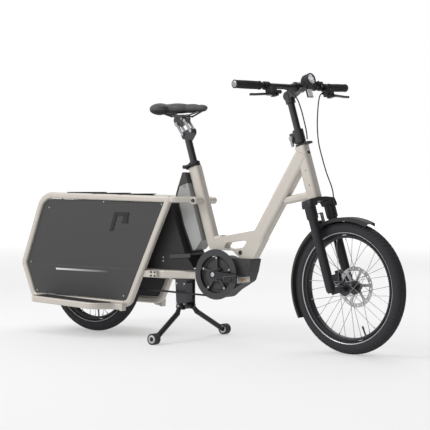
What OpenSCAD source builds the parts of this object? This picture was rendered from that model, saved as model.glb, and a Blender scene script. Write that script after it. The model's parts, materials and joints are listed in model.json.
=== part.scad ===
/* [Wheels] */
// Distance between the two wheel axles
wheelbase = 1310; // [1250:5:1370]
// Outer radius of both tyres
tyre_r = 258; // [250:1:262]
// Half of the tyre's width
tyre_half_w = 28; // [25:0.5:30]
// Wall of the tyre
tyre_wall = 3.5; // [2.5:0.5:5]
// Inner radius of both rims
rim_inner_r = 194.5; // [188:0.5:197]
// Half of the rim's width
rim_half_w = 17; // [15:0.5:20]
// Spokes in each wheel
spoke_count = 32; // [28:4:36]
// Radius of a spoke
spoke_r = 1; // [0.8:0.1:1.4]
// Radius of both brake discs
rotor_r = 80; // [70:1:90]
/* [Steering and fork] */
// Lean of the head tube from the vertical, in degrees
head_lean = 17; // [15:0.5:19]
// Angle the bars are turned to as the bicycle stands, in degrees
rest_steer = -7; // [-10:0.5:0]
// Length of the head tube
head_len = 216; // [190:2:230]
// Distance from the steering axis forward to the front axle
fork_offset = 57; // [50:1:62]
// Distance from the middle to each fork leg
leg_spacing = 62; // [58:1:68]
// Radius of a lower fork leg
leg_r = 18.5; // [16:0.5:20]
// Suspension travel of the fork
fork_travel = 30; // [20:1:30]
// Height of the handlebar above the head tube's foot, along the steering axis
bar_rise = 444; // [420:2:480]
// Overall width of the handlebar
bar_w = 692; // [620:2:740]
// Radius of the telescopic stem tube
stem_r = 14; // [12.7:0.1:15]
/* [Frame] */
// Depth of the down tube seen from the side
down_depth = 60; // [50:1:66]
// Width of the down tube
down_w = 50; // [44:1:54]
// Lean of the seat tube from the vertical, in degrees
seat_lean = 17.5; // [16:0.5:19]
// Depth of the seat tube seen from the side
seat_depth = 52; // [46:1:56]
// Width of the seat tube
seat_w = 42; // [38:1:46]
// Radius of the seatpost
post_r = 15.4; // [13.6:0.1:15.8]
// Thickness of the tube that makes the side loops
loop_tube = 27; // [24:0.5:30]
// Distance from the middle of the bicycle to each side loop
loop_y = 110; // [108:1:125]
// Height of the load deck's rails at the rear
deck_z = 604; // [590:1:620]
// Length of the load deck behind the diagonals
deck_len = 714; // [690:2:740]
/* [Running boards] */
// Distance from the middle of the bicycle to a running board's outer edge
board_reach = 232; // [200:1:260]
// Thickness of a running board's frame
board_t = 27; // [22:0.5:30]
/* [Drive] */
// Teeth on the belt ring at the cranks
ring_teeth = 52; // [46:1:55]
// Teeth on the rear belt sprocket
sprocket_teeth = 25; // [22:1:30]
// Length of a crank, from spindle to pedal axle
crank_len = 155; // [150:1:175]
/* [Saddle] */
// Length of the saddle
saddle_len = 276; // [250:1:290]
// Width of the saddle at the back
saddle_w = 158; // [140:1:170]
/* [Stand] */
// Distance between the middles of the two stand rollers
stand_track = 494; // [440:2:520]
// Radius of a stand roller
roller_r = 23; // [20:0.5:26]
/* [Hidden] */
$fn = 48;

// Named clearances
slip = 0.05;          // running fit of a shaft in its bore, on the radius
gap = 0.3;            // between parts that face each other
part_gap = 2;         // between a panel and the tube around it

// Places of the main points
front_x = 698;                          // front axle
rear_x = front_x - wheelbase;           // rear axle
head_x = 533;                           // foot of the head tube
head_z = 602;
crank_x = 98;                           // crank spindle
crank_z = 286;
seat_x = -60;                           // mouth of the seat tube
seat_z = 728;

// Wheel
tube_mid_r = tyre_r - tyre_half_w;
bead_r = tube_mid_r - 24;
rotor_t = 2;
rotor_band = 16;                        // width of the brake disc's ring
rotor_hub_r = 27;
axle_r = 6;
front_over_w = 50;                      // inner face of the fork's dropouts
rear_over_w = 73;                       // inner face of the rear dropouts

// Steering
steerer_r = 14.3;
steerer_bore_r = 18;
head_depth = 50;
head_w = 46;
leg_forward = 14;
brake_mount_y = 54;                     // inner face of the brake mount
axle_down = sqrt(pow(front_x - head_x, 2) + pow(head_z - tyre_r, 2) - pow(fork_offset, 2));
cover_t = 8;
socket_r = 23;
socket_top = -18;
socket_len = 62;
bar_forward = 56;
bar_sweep = 28;
bar_lift = 15;
bar_r = 11.1;
bar_clamp_r = 15.9;
grip_len = 130;
grip_r = 16;

// Fork, fender
fender_r = 272;
fender_t = 3;
fender_half_w = 30;

// Frame
stay_w = 22;
stay_h = 34;
stay_z = 277;
stay_front_y = 42;
stay_rear_y = rear_over_w + 1 + stay_w / 2;
rail_front_z = 592;
cover_half_w = 38;

// Belt drive
belt_pitch = 11;
belt_y = -58;
belt_w = 11;
ring_r = ring_teeth * belt_pitch / (2 * PI);
sprocket_r = sprocket_teeth * belt_pitch / (2 * PI);
belt_under = 1.8;
belt_over = 3.2;
crank_y = 79.5;
crank_t = 13;

// Seatpost head
link_dx = -33;
link_dz = 45;
link_t = 5;
pin_r = 3;
low_front = [-74, 880];
low_rear = [-117, 866];

// Stand
stand_x = -105;
stand_pivot_z = 140;
roller_half_w = 15;

function unit(v) = v / norm(v);
function turn(p, q, s) = let (a = q - p, b = s - q)
    atan2(a[0] * b[1] - a[1] * b[0], a[0] * b[0] + a[1] * b[1]);
function setback(pts, rad, i) = i <= 0 || i >= len(pts) - 1 ? 0
    : rad[i] * tan(abs(turn(pts[i - 1], pts[i], pts[i + 1])) / 2);
function y_at(x, a, b) = a[1] + (b[1] - a[1]) * (x - a[0]) / (b[0] - a[0]);

// Rectangle with round corners, round its own middle
module rounded_rect(w, h, r) {
    square([w - 2 * r, h], center = true);
    square([w, h - 2 * r], center = true);
    for (sx = [-1, 1], sy = [-1, 1]) translate([sx * (w / 2 - r), sy * (h / 2 - r)]) circle(r);
}

// A bend is a touch fatter than the tube, and the straight tubes run a little way into it
bend_swell = 0.25;
bend_lap = 2;

// Tube along a flat path; the section is w in the plane of the path and h across it
module flat_tube(pts, rad, w, h, r) {
    for (i = [0 : len(pts) - 2]) {
        d = unit(pts[i + 1] - pts[i]);
        a = pts[i] + d * (setback(pts, rad, i) - (i > 0 ? bend_lap : 0));
        b = pts[i + 1] - d * (setback(pts, rad, i + 1) - (i < len(pts) - 2 ? bend_lap : 0));
        translate([a[0], a[1], 0]) rotate([0, 0, atan2(d[1], d[0])]) rotate([90, 0, 90])
            linear_extrude(norm(b - a)) rounded_rect(w, h, r);
    }
    for (i = [1 : len(pts) - 2]) {
        d = unit(pts[i] - pts[i - 1]);
        bend = turn(pts[i - 1], pts[i], pts[i + 1]);
        side = bend > 0 ? 1 : -1;
        start = pts[i] - d * setback(pts, rad, i);
        middle = start + side * rad[i] * [-d[1], d[0]];
        first = atan2(d[1], d[0]) - side * 90 + (bend > 0 ? 0 : bend);
        translate([middle[0], middle[1], 0]) rotate([0, 0, first])
            rotate_extrude(angle = abs(bend)) translate([rad[i], 0])
                rounded_rect(w + 2 * bend_swell, h + 2 * bend_swell, r + bend_swell);
    }
}

// The same tube standing in the plane of the bicycle, at sideways place y
module side_tube(pts, rad, w, h, r, y = 0) {
    translate([0, y, 0]) rotate([90, 0, 0]) flat_tube(pts, rad, w, h, r);
}

// Plate of a side view outline, from y0 to y1
module side_plate(y0, y1) {
    translate([0, y1, 0]) rotate([90, 0, 0]) linear_extrude(y1 - y0) children();
}

// Round bar between two points
module rod(a, b, r, r2 = -1) {
    d = b - a;
    translate(a) rotate([0, acos(d[2] / norm(d)), atan2(d[1], d[0])])
        cylinder(h = norm(d), r1 = r, r2 = r2 < 0 ? r : r2);
}

// Round bar across the bicycle
module cross_rod(x, z, r, y0, y1) {
    translate([x, y1, z]) rotate([90, 0, 0]) cylinder(h = y1 - y0, r = r);
}

// Outline with rounded corners: an arc of n steps at each point
function arc_corner(p, q, s, r, n) = let (
    u = unit(p - q), v = unit(s - q), half = acos(u * v) / 2, back = r / tan(half),
    c = q + unit(u + v) * r / sin(half), a0 = q + u * back - c, bend = turn(p, q, s))
    [for (k = [0 : n]) let (a = bend * k / n)
    c + [a0[0] * cos(a) - a0[1] * sin(a), a0[0] * sin(a) + a0[1] * cos(a)]];
function round_outline(pts, rad, n = 6) = [for (i = [0 : len(pts) - 1])
    each arc_corner(pts[(i + len(pts) - 1) % len(pts)], pts[i], pts[(i + 1) % len(pts)], rad[i], n)];

// Frames of reference: the steering axis as it stands, and the seat tube
module on_steering() {
    translate([head_x, 0, head_z]) rotate([0, -head_lean, 0]) rotate([0, 0, rest_steer]) children();
}
module on_head() {
    translate([head_x, 0, head_z]) rotate([0, -head_lean, 0]) children();
}
module on_seat() {
    translate([seat_x, 0, seat_z]) rotate([0, -seat_lean, 0]) children();
}
module at_front_axle() {
    on_steering() translate([fork_offset, 0, -axle_down]) children();
}
module at_rear_axle() {
    translate([rear_x, 0, tyre_r]) children();
}

// ---------------------------------------------------------------- main frame
down_top = [472, 765];
down_foot = [282, 456];
gusset_bottom_z = 354;
module main_frame() {
    color([0.73, 0.69, 0.64]) difference() {
        union() {
            // head tube
            on_head() linear_extrude(head_len) rounded_rect(head_depth, head_w, 14);
            // down tube
            down_dir = unit(down_top - down_foot);
            side_tube([down_foot - down_dir * 25, down_top + down_dir * 18], [0, 0], down_depth, down_w,
                14);
            // brace below the head triangle
            side_tube([[398, 592], [532, 618]], [0, 0], 30, 36, 10);
            // mid tube between the down tube and the seat tube
            side_tube([[40, 426], [92, 430], [262, 452]], [0, 40, 0], 32, 38, 12);
            // seat tube
            on_seat() translate([0, 0, -336]) linear_extrude(336) rounded_rect(seat_depth, seat_w, 14);
            // gusset over the motor, with its window
            side_plate(-down_w / 2 + 3, down_w / 2 - 3) difference() {
                polygon([[253, gusset_bottom_z], [190, gusset_bottom_z], [150, 384], [90, 384], [60, 392],
                    [60, 430], [92, 440], [258, 470], [304, 438]]);
                polygon(round_outline([[106, 396], [140, 388], [204, 398], [224, 424], [200, 428],
                    [120, 416]],
                    [6, 12, 12, 5, 10, 10], 5));
            }
            // seat lug that carries the motor and the stays
            side_plate(-seat_w / 2, seat_w / 2)
                polygon([[22, 420], [66, 420], [86, 386], [40, 386], [34, 388]]);
        }
        // bore for the seatpost
        on_seat() translate([0, 0, -272]) cylinder(h = 273, r = post_r + slip);
        // bore for the steerer
        on_head() translate([0, 0, -1]) cylinder(h = head_len + 2, r = steerer_bore_r);
        // seats of the head bearings
        on_head() translate([0, 0, -1]) cylinder(h = 7, r = 21);
        on_head() translate([0, 0, head_len - 6]) cylinder(h = 7, r = 21);
        // charge port in the gusset
        cross_rod(190, 377, 7, -down_w / 2, -down_w / 2 + 9);
        // flat foot of the seat tube
        translate([0, -50, 340]) cube([160, 100, 380 - 340]);
    }
}

// ---------------------------------------------------------------- side loops and deck rails
diag_foot = [-328, 142];
diag_top = [-112, rail_front_z + 1];
rail_back = [diag_top[0] - deck_len, deck_z];
loop_path = [[diag_top[0] + 6, rail_front_z], rail_back, [-941, 298], [-878, 148], diag_foot, diag_top];
loop_bends = [0, 78, 26, 32, 42, 0];
boss_x = -14;
boss_z = 588;
boss_r = 15;
boss_out = 74;
function diag_x(z) = diag_foot[0] + (z - diag_foot[1]) * (diag_top[0] - diag_foot[0]) / (diag_top[1] - diag_foot[1]) - 6;
module loop(side) {
    color([0.73, 0.69, 0.64]) {
        side_tube(loop_path, loop_bends, loop_tube, loop_tube, 9, side * loop_y);
        // rail that turns inwards to the seat tube
        translate([0, 0, rail_front_z - 0.5])
            flat_tube([[diag_top[0] - 24, side * loop_y], [diag_top[0] + 26, side * loop_y],
                [boss_x - 2, side * 48]], [0, 34, 0], loop_tube - 2, loop_tube - 2, 8);
        // round boss that bolts to the seat tube
        if (side < 0) cross_rod(boss_x, boss_z, boss_r, -boss_out, -seat_w / 2 - slip);
        else cross_rod(boss_x, boss_z, boss_r, seat_w / 2 + slip, boss_out);
        // plate bolted to the stay
        plate_in = side < 0 ? -loop_y : stay_rear_y + stay_w / 2 + slip;
        plate_out = side < 0 ? -stay_rear_y - stay_w / 2 - slip : loop_y;
        side_plate(plate_in, plate_out)
            polygon([[diag_x(stay_z - 14), stay_z - 14], [-178, stay_z - 14], [-178, stay_z + 14],
                [diag_x(stay_z + 14), stay_z + 14]]);
    }
}

// ---------------------------------------------------------------- rear stays with the rear axle
module stay(side) {
    path = [[10, side * stay_front_y], [-40, side * stay_front_y], [-160, side * stay_rear_y],
        [rear_x - 34, side * stay_rear_y]];
    difference() {
        union() {
            translate([0, 0, stay_z]) flat_tube(path, [0, 60, 60, 0], stay_w, stay_h, 7);
            // dropout
            side_plate(min(side * rear_over_w, side * (rear_over_w + 11)),
                max(side * rear_over_w, side * (rear_over_w + 11)))
                polygon([[rear_x - 24, 240], [rear_x - 14, 232], [rear_x + 26, 232], [rear_x + 70, 268],
                    [rear_x + 60, 286], [rear_x - 30, 286], [rear_x - 30, 250]]);
        }
        cross_rod(rear_x, tyre_r, axle_r + slip, -120, 120);
    }
}
module rear_stays() {
    color([0.73, 0.69, 0.64]) {
        for (side = [-1, 1]) stay(side);
        // rear axle through both dropouts
        cross_rod(rear_x, tyre_r, axle_r, -rear_over_w - 22, rear_over_w + 22);
    }
}

// ---------------------------------------------------------------- load deck cross bars
deck_bar_x = [-666, -522, -378];
deck_hole_y = 60;
deck_hole_r = 3.3;
function rail_z(x) = y_at(x, [rail_back[0], deck_z], [diag_top[0], rail_front_z]) + loop_tube / 2;
module deck_bars() {
    color([0.08, 0.08, 0.09]) for (x = deck_bar_x) {
        top = rail_z(x) + 4;
        difference() {
            union() {
                translate([x - 13, -loop_y - 8, top - 3.5]) cube([26, 2 * loop_y + 16, 3.5]);
                translate([x - 13, -loop_y + loop_tube / 2 + gap, top - 16])
                    cube([26, 2 * loop_y - loop_tube - 2 * gap, 13]);
            }
            for (y = [-deck_hole_y, deck_hole_y]) translate([x, y, top - 20])
                cylinder(h = 30, r = deck_hole_r);
        }
    }
}

// ---------------------------------------------------------------- side panels
panel_t = 5;
panel_in = loop_tube / 2 + part_gap;
panel_edge = [for (i = [1 : 5]) loop_path[i]];
function inset_corner(p, q, s, d) = let (u = unit(q - p), v = unit(s - q), n = [-u[1], u[0]],
    m = [-v[1], v[0]])
    q + (n + m) * d / (1 + n * m);
panel_outline = [for (i = [0 : 4])
    inset_corner(panel_edge[(i + 4) % 5], panel_edge[i], panel_edge[(i + 1) % 5], panel_in)];
latch_x = -372;
latch_z = 496;
module panel(side) {
    y_face = side * (loop_y + 2);
    lo = min(y_face, y_face - side * panel_t);
    color([0.055, 0.054, 0.056]) difference() {
        union() {
            side_plate(lo, lo + panel_t) polygon(round_outline(panel_outline, [64, 14, 18, 28, 12], 8));
            // lower skirt stands proud below the crease
            intersection() {
                side_plate(-loop_y - 20, loop_y + 20)
                    polygon(round_outline(panel_outline, [64, 14, 18, 28, 12], 8));
                translate([-1000, 0, 0]) rotate([90, 0, 90]) linear_extrude(1000)
                    polygon([[y_face - side * 1, 298], [y_face + side * 5, 290], [y_face + side * 5, 120],
                        [y_face - side * 1, 120]]);
            }
        }
        // hand recess with the latch
        side_plate(min(y_face - side * 1.8, y_face + side * 9), max(y_face - side * 1.8, y_face + side * 9))
            polygon(round_outline([[-430, 456], [-343, 456], [-316, 533], [-403, 533]], [9, 9, 9, 9], 4));
        cross_rod(latch_x + 22, latch_z + 8, 5 + slip, -loop_y - 30, loop_y + 30);
    }
}
module latch(side) {
    y_face = side * (loop_y + 2);
    a = y_face - side * (panel_t + 4);
    b = y_face - side * 1.5;
    c = y_face + side * 1.6;
    color([0.02, 0.02, 0.02]) {
        cross_rod(latch_x + 22, latch_z + 8, 5, min(a, c), max(a, c));
        side_plate(min(b, c), max(b, c)) polygon(round_outline([[latch_x + 10, latch_z - 4],
            [latch_x + 34, latch_z - 4], [latch_x + 40, latch_z + 24], [latch_x + 14, latch_z + 22]],
            [4, 4, 4, 4], 4));
        side_plate(min(a, a + side * 3), max(a, a + side * 3)) translate([latch_x + 22, latch_z + 8])
            circle(9);
    }
}

// ---------------------------------------------------------------- running boards
board_x0 = -808;
board_x1 = -352;
board_z = 149;
board_slope = 2.2;
board_in = loop_y + loop_tube / 2 + gap;
module on_board(side) {
    translate([board_x0, 0, board_z]) rotate([0, board_slope, 0]) translate([-board_x0, 0, 0])
        mirror([0, side < 0 ? 1 : 0, 0])
        children();
}
board_mid = board_in + board_t / 2;
board_path = [[board_x0 + 10, board_mid - 2], [board_x0 + 10, board_reach - 10],
    [board_x1 - 82, board_reach - 10],
    [board_x1 - 26, board_mid], [board_x1 + 16, board_mid]];
board_bends = [0, 34, 60, 40, 0];
module running_boards() {
    color([0.73, 0.69, 0.64]) for (side = [-1, 1]) on_board(side) {
        flat_tube(board_path, board_bends, 20, board_t, 6);
        // collar that clamps the board to the loop
        translate([board_x1 + 6, board_in, -16]) cube([14, 26, 32]);
        // inner bearer along the loop
        translate([board_x0 + 12, board_in, -6]) cube([board_x1 - board_x0 - 10, 8, 12]);
    }
}
module board_treads() {
    color([0.10, 0.10, 0.10]) for (side = [-1, 1]) on_board(side) difference() {
        translate([0, 0, board_t / 2 - 7]) linear_extrude(7.6)
            polygon(round_outline([[board_x0 + 21, board_in + 9],
            [board_x1 - 52, board_in + 9], [board_x1 - 106, board_reach - 22],
            [board_x0 + 21, board_reach - 22]],
            [4, 3, 44, 24], 8));
        for (k = [0 : 2]) translate([board_x0 + 40, board_in + 22 + 22 * k, board_t / 2 - 1.4])
            cube([330, 9, 4]);
    }
}

// -------------------------------------------------------- wheel guards: rear fender with side skirts
skirt_y = 65;
skirt_t = 2;
module wheel_guards() {
    color([0.02, 0.02, 0.02]) {
        // fender over the rear wheel
        at_rear_axle() rotate([90, 0, 0]) rotate([0, 0, 8]) rotate_extrude(angle = 176)
            polygon([[fender_r - 12, -fender_half_w], [fender_r, -fender_half_w + 8],
                [fender_r, fender_half_w - 8],
                [fender_r - 12, fender_half_w], [fender_r - 9, fender_half_w],
                [fender_r + fender_t, fender_half_w - 7],
                [fender_r + fender_t, -fender_half_w + 7], [fender_r - 9, -fender_half_w]]);
        // side skirts between the diagonals and the battery
        for (side = [-1, 1])
            side_plate(min(side * skirt_y, side * (skirt_y + skirt_t)),
                max(side * skirt_y, side * (skirt_y + skirt_t)))
                polygon(round_outline([[-330, 297], [-8, 297], [-62, 372], [-140, 572], [-330, 572]],
                    [4, 6, 12, 8, 8], 4));
        // curved front of the guard, behind the battery
        side_plate(-skirt_y + gap, skirt_y - gap)
            polygon([[-62, 366], [-69, 366], [-108, 470], [-148, 572], [-141, 572], [-101, 470]]);
        // stays that carry the fender
        for (a = [66, 114], side = [-1, 1])
            rod([rear_x + cos(a) * (fender_r - 4), side * (fender_half_w - 3),
                tyre_r + sin(a) * (fender_r - 4)],
                [rear_x + cos(a) * 300, side * (loop_y - loop_tube / 2 - 1), 596], 2.5);
    }
}

// ---------------------------------------------------------------- motor cover and belt guard
module motor_cover() {
    color([0.05, 0.05, 0.053]) difference() {
        union() {
            side_plate(-cover_half_w, cover_half_w)
                polygon(round_outline([[254, gusset_bottom_z - gap], [242, 300], [228, 262], [160, 222],
                    [118, 188],
                    [62, 190], [14, 232], [12, 300], [30, 354], [150, 354 - gap]],
                    [6, 40, 24, 50, 40, 40, 24, 30, 14, 4], 6));
            // wider round drum round the spindle
            cross_rod(crank_x, crank_z, 74, -cover_half_w - 12, cover_half_w + 12);
        }
        cross_rod(crank_x, crank_z, 12 + slip, -80, 80);
        // pocket under the frame's gusset
        translate([40, -60, 379.5]) cube([300, 120, 40]);
    }
    // guard over the belt where it enters the skirt
    color([0.02, 0.02, 0.02]) side_plate(-skirt_y - 6, -skirt_y - skirt_t - slip)
        polygon(round_outline([[-138, 344], [-30, 351], [-30, 367], [-138, 360]], [3, 3, 3, 3], 3));
}

// ---------------------------------------------------------------- belt
belt_span = sqrt(pow(crank_x - rear_x, 2) + pow(crank_z - tyre_r, 2));
belt_lean = asin((ring_r - sprocket_r) / belt_span);
function belt_arc(c, r, a0, a1, n) = [for (k = [0 : n])
    let (a = a0 + (a1 - a0) * k / n) [c + r * cos(a), r * sin(a)]];
module belt_shape(grow) {
    rotate([0, 0, atan2(crank_z - tyre_r, crank_x - rear_x)])
        polygon(concat(belt_arc(belt_span, ring_r + grow, -90 - belt_lean, 90 + belt_lean, 48),
            belt_arc(0, sprocket_r + grow, 90 + belt_lean, 270 - belt_lean, 32)));
}
module belt() {
    color([0.03, 0.03, 0.03]) translate([rear_x, 0, tyre_r])
        side_plate(belt_y - belt_w / 2, belt_y + belt_w / 2)
        difference() {
            belt_shape(belt_over);
            belt_shape(-belt_under);
        }
}

// ---------------------------------------------------------------- battery
module battery() {
    color([0.42, 0.43, 0.43]) side_plate(-38, 38)
        polygon(round_outline([[-98, 706], [-84, 704], [-54, 608], [-10, 470], [4, 424], [-26, 384],
            [-48, 376],
            [-94, 480], [-132, 612]], [6, 6, 40, 40, 12, 10, 10, 40, 40], 6));
}

// ---------------------------------------------------------------- seat collar and its lever
collar_h = 20;
module seat_collar() {
    color([0.10, 0.10, 0.11]) on_seat() difference() {
        union() {
            translate([0, 0, gap]) cylinder(h = collar_h, r = 25);
            translate([-40, -11, gap]) cube([24, 22, collar_h]);
        }
        translate([0, 0, -1]) cylinder(h = 40, r = post_r + slip);
        translate([-45, -1.2, -1]) cube([34, 2.4, 40]);
        translate([-33, 30, gap + collar_h / 2]) rotate([90, 0, 0]) cylinder(h = 60, r = 3 + slip);
    }
}
module seat_lever() {
    color([0.03, 0.03, 0.03]) on_seat() translate([-33, 0, gap + collar_h / 2]) {
        rotate([90, 0, 0]) translate([0, 0, -16]) cylinder(h = 32, r = 3);
        translate([0, -11 - gap, 0]) rotate([90, 0, 0]) cylinder(h = 22, r = 8);
        translate([0, 11 + gap + 5, 0]) rotate([90, 0, 0]) cylinder(h = 5, r = 6);
        translate([0, -33, -4]) cube([52, 6, 8]);
    }
}

// ---------------------------------------------------------------- seatpost with parallel links
high_front = low_front + [link_dx, link_dz];
high_rear = low_rear + [link_dx, link_dz];
post_head_half = 12;
module seatpost() {
    color([0.13, 0.13, 0.14]) {
        on_seat() translate([0, 0, -180]) cylinder(h = 302, r = post_r);
        difference() {
            side_plate(-post_head_half, post_head_half) polygon(round_outline([[-118, 846], [-84, 838],
                [-62, 870], [-66, 892], [-84, 892], [-112, 878], [-128, 874], [-128, 862]],
                [7, 7, 7, 7, 6, 6, 6, 6], 5));
            for (p = [low_front, low_rear]) cross_rod(p[0], p[1], pin_r + slip, -30, 30);
        }
    }
}
module link(a, b) {
    d = unit(b - a);
    for (side = [-1, 1]) {
        y0 = side < 0 ? -post_head_half - gap - link_t : post_head_half + gap;
        for (p = [a, b]) cross_rod(p[0], p[1], 7, y0, y0 + link_t);
        side_plate(y0, y0 + link_t) translate((a + b) / 2) rotate(atan2(d[1], d[0]))
            square([norm(b - a), 11], center = true);
    }
    for (p = [a, b]) cross_rod(p[0], p[1], pin_r, -post_head_half - 1, post_head_half + 1);
}
module link_front() { color([0.30, 0.30, 0.31]) link(low_front, high_front); }
module link_rear() { color([0.30, 0.30, 0.31]) link(low_rear, high_rear); }
rail_y = 22;
rail_r = 3.5;
module saddle_clamp() {
    color([0.16, 0.16, 0.17]) difference() {
        side_plate(-post_head_half, post_head_half)
            polygon(round_outline([[-160, 903], [-142, 899], [-112, 910],
            [-96, 918], [-94, 936], [-112, 944], [-160, 944], [-168, 928]], [6, 6, 10, 6, 6, 4, 4, 6], 5));
        for (p = [high_front, high_rear]) cross_rod(p[0], p[1], pin_r + slip, -30, 30);
    }
    // saddle rails and their yoke
    color([0.16, 0.16, 0.17]) {
        for (side = [-1, 1]) {
            rod([-170, side * rail_y, 942], [-92, side * rail_y, 942], rail_r);
            rod([-170, side * rail_y, 942], [-214, side * 34, 958], rail_r);
            rod([-92, side * rail_y, 942], [-34, side * 9, 962], rail_r);
            for (x = [-170, -92]) translate([x, side * rail_y, 942]) sphere(rail_r + 0.4);
        }
        translate([-152, -rail_y - 5, 937]) cube([44, 2 * rail_y + 10, 12]);
    }
}

// ---------------------------------------------------------------- saddle
saddle_back = -280;
module saddle() {
    color([0.09, 0.09, 0.095]) translate([saddle_back, 0, 0]) hull() {
        w = saddle_w / 2;
        translate([24, 0, 978]) scale([1, 1, 0.55]) sphere(22, $fn = 24);
        for (s = [-1, 1]) {
            translate([44, s * (w - 22), 976]) sphere(20, $fn = 24);
            translate([100, s * (w - 46), 970]) sphere(16, $fn = 24);
        }
        translate([saddle_len - 17, 0, 972]) sphere(15, $fn = 24);
        translate([saddle_len - 80, 0, 968]) scale([1, 1.3, 1]) sphere(16, $fn = 24);
    }
}

// ---------------------------------------------------------------- stand
module stand_bracket() {
    color([0.16, 0.16, 0.165]) difference() {
        union() {
            for (side = [-1, 1]) side_plate(side * 30 - 2.5, side * 30 + 2.5)
                polygon(round_outline([[-138, 258], [-80, 258], [-80, 150], [-86, 126], [-122, 126],
                    [-132, 160]],
                    [3, 3, 10, 8, 8, 10], 4));
            translate([-132, -30, 168]) cube([46, 60, 70]);
            translate([-138, -52, 254]) cube([58, 104, 5.5]);
        }
        cross_rod(stand_x, stand_pivot_z, 6 + slip, -60, 60);
    }
}
module stand_legs() {
    color([0.06, 0.06, 0.065]) {
        cross_rod(stand_x, stand_pivot_z, 6, -40, 40);
        difference() {
            cross_rod(stand_x, stand_pivot_z, 13, -27, 27);
            translate([stand_x - 40, -40, stand_pivot_z + 20]) cube([80, 80, 20]);
        }
        for (side = [-1, 1]) {
            knee = [stand_x + 7, side * 68, 112];
            foot = [stand_x + 22, side * (stand_track / 2 - 40), 38];
            cross_rod(stand_x, stand_pivot_z, 13, side < 0 ? -52 : 34, side < 0 ? -34 : 52);
            rod([stand_x + 1, side * 47, stand_pivot_z - 4], knee, 9, 11);
            rod(knee, foot, 11);
            translate(knee) sphere(11.6);
            translate(foot) sphere(11.6);
            cross_rod(stand_x + 26, roller_r, 5,
                min(side * (stand_track / 2 - 30), side * (stand_track / 2 + 18)),
                max(side * (stand_track / 2 - 30), side * (stand_track / 2 + 18)));
            rod(foot, [stand_x + 26, side * (stand_track / 2 - 27), roller_r + 3], 9);
        }
    }
}
module stand_wheel(side) {
    color([0.05, 0.05, 0.05]) difference() {
        cross_rod(stand_x + 26, roller_r, roller_r, side * stand_track / 2 - roller_half_w,
            side * stand_track / 2 + roller_half_w);
        cross_rod(stand_x + 26, roller_r, 5 + slip, side * stand_track / 2 - 40,
            side * stand_track / 2 + 40);
    }
}

// ---------------------------------------------------------------- headset, rear caliper, fasteners
module headset_cups() {
    color([0.05, 0.05, 0.05]) on_head() for (z = [gap, head_len - 6 + gap]) translate([0, 0, z])
        difference() {
        cylinder(h = 5.4, r = 21 - slip);
        translate([0, 0, -1]) cylinder(h = 8, r = steerer_r + 1);
    }
}
module rear_caliper() {
    color([0.03, 0.03, 0.03]) translate([rear_x + 62, 0, 322]) difference() {
        translate([-24, 42, -18]) cube([48, 24, 36]);
        translate([-40, 50, -60]) cube([80, 8, 70]);
    }
}
module frame_bolts() {
    color([0.45, 0.45, 0.46]) {
        for (side = [-1, 1], x = [-207, -187], z = [stay_z - 8, stay_z + 8])
            cross_rod(x, z, 4, side < 0 ? -loop_y - 3.5 : loop_y + gap / 10,
                side < 0 ? -loop_y - gap / 10 : loop_y + 3.5);
        for (side = [-1, 1])
            cross_rod(boss_x, boss_z, 8, side < 0 ? -boss_out - 4 : boss_out + gap / 10,
                side < 0 ? -boss_out - gap / 10 : boss_out + 4);
    }
}

// ---------------------------------------------------------------- cranks, ring, pedals
crank_dip = 3.7;
function pedal_x(turned) = crank_x + crank_len * cos(turned ? 180 - crank_dip : -crank_dip);
function pedal_z(turned) = crank_z + crank_len * sin(turned ? 180 - crank_dip : -crank_dip);
spindle_r = 12;
module crank_arm(side) {
    y0 = side < 0 ? -crank_y - crank_t / 2 : crank_y - crank_t / 2;
    turned = side > 0;
    difference() {
        union() {
            cross_rod(crank_x, crank_z, 17, y0, y0 + crank_t);
            cross_rod(pedal_x(turned), pedal_z(turned), 13, y0, y0 + crank_t);
            side_plate(y0, y0 + crank_t) translate([crank_x, crank_z])
                rotate(turned ? 180 - crank_dip : -crank_dip)
                polygon([[0, -15], [crank_len, -10], [crank_len, 10], [0, 15]]);
        }
        cross_rod(pedal_x(turned), pedal_z(turned), 5 + slip, -130, 130);
        if (side < 0) cross_rod(crank_x, crank_z, spindle_r - 3 + slip, -130, 130);
    }
}
module right_crank() { color([0.05, 0.05, 0.05]) crank_arm(-1); }
module left_crank() {
    color([0.05, 0.05, 0.05]) {
        crank_arm(1);
        cross_rod(crank_x, crank_z, spindle_r, -crank_y + crank_t / 2 + slip, crank_y - 2);
        cross_rod(crank_x, crank_z, spindle_r - 3, -crank_y - 2, 0);
    }
}
guard_r = 104;
module belt_ring() {
    color([0.05, 0.05, 0.053]) translate([crank_x, 0, crank_z]) difference() {
        union() {
            side_plate(belt_y - 3, belt_y + 3) {
                difference() {
                    circle(ring_r - belt_under - gap, $fn = 96);
                    circle(76, $fn = 96);
                }
                difference() {
                    for (k = [0 : 4]) rotate(18 + 72 * k) translate([40, 0])
                        square([86, 11], center = true);
                    circle(20);
                }
                circle(30);
            }
            // guard ring outside the belt
            side_plate(belt_y - belt_w / 2 - 2.6, belt_y - belt_w / 2 - gap) difference() {
                circle(guard_r, $fn = 96);
                circle(78, $fn = 96);
            }
            for (k = [0 : 4]) rotate([0, -18 - 72 * k, 0]) translate([74, belt_y - belt_w / 2 - 2, -6])
                cube([8, 6, 12]);
            side_plate(-crank_y + crank_t / 2 + gap, belt_y) circle(24);
        }
        rotate([90, 0, 0]) translate([0, 0, -100]) cylinder(h = 200, r = spindle_r + slip);
    }
}
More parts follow.
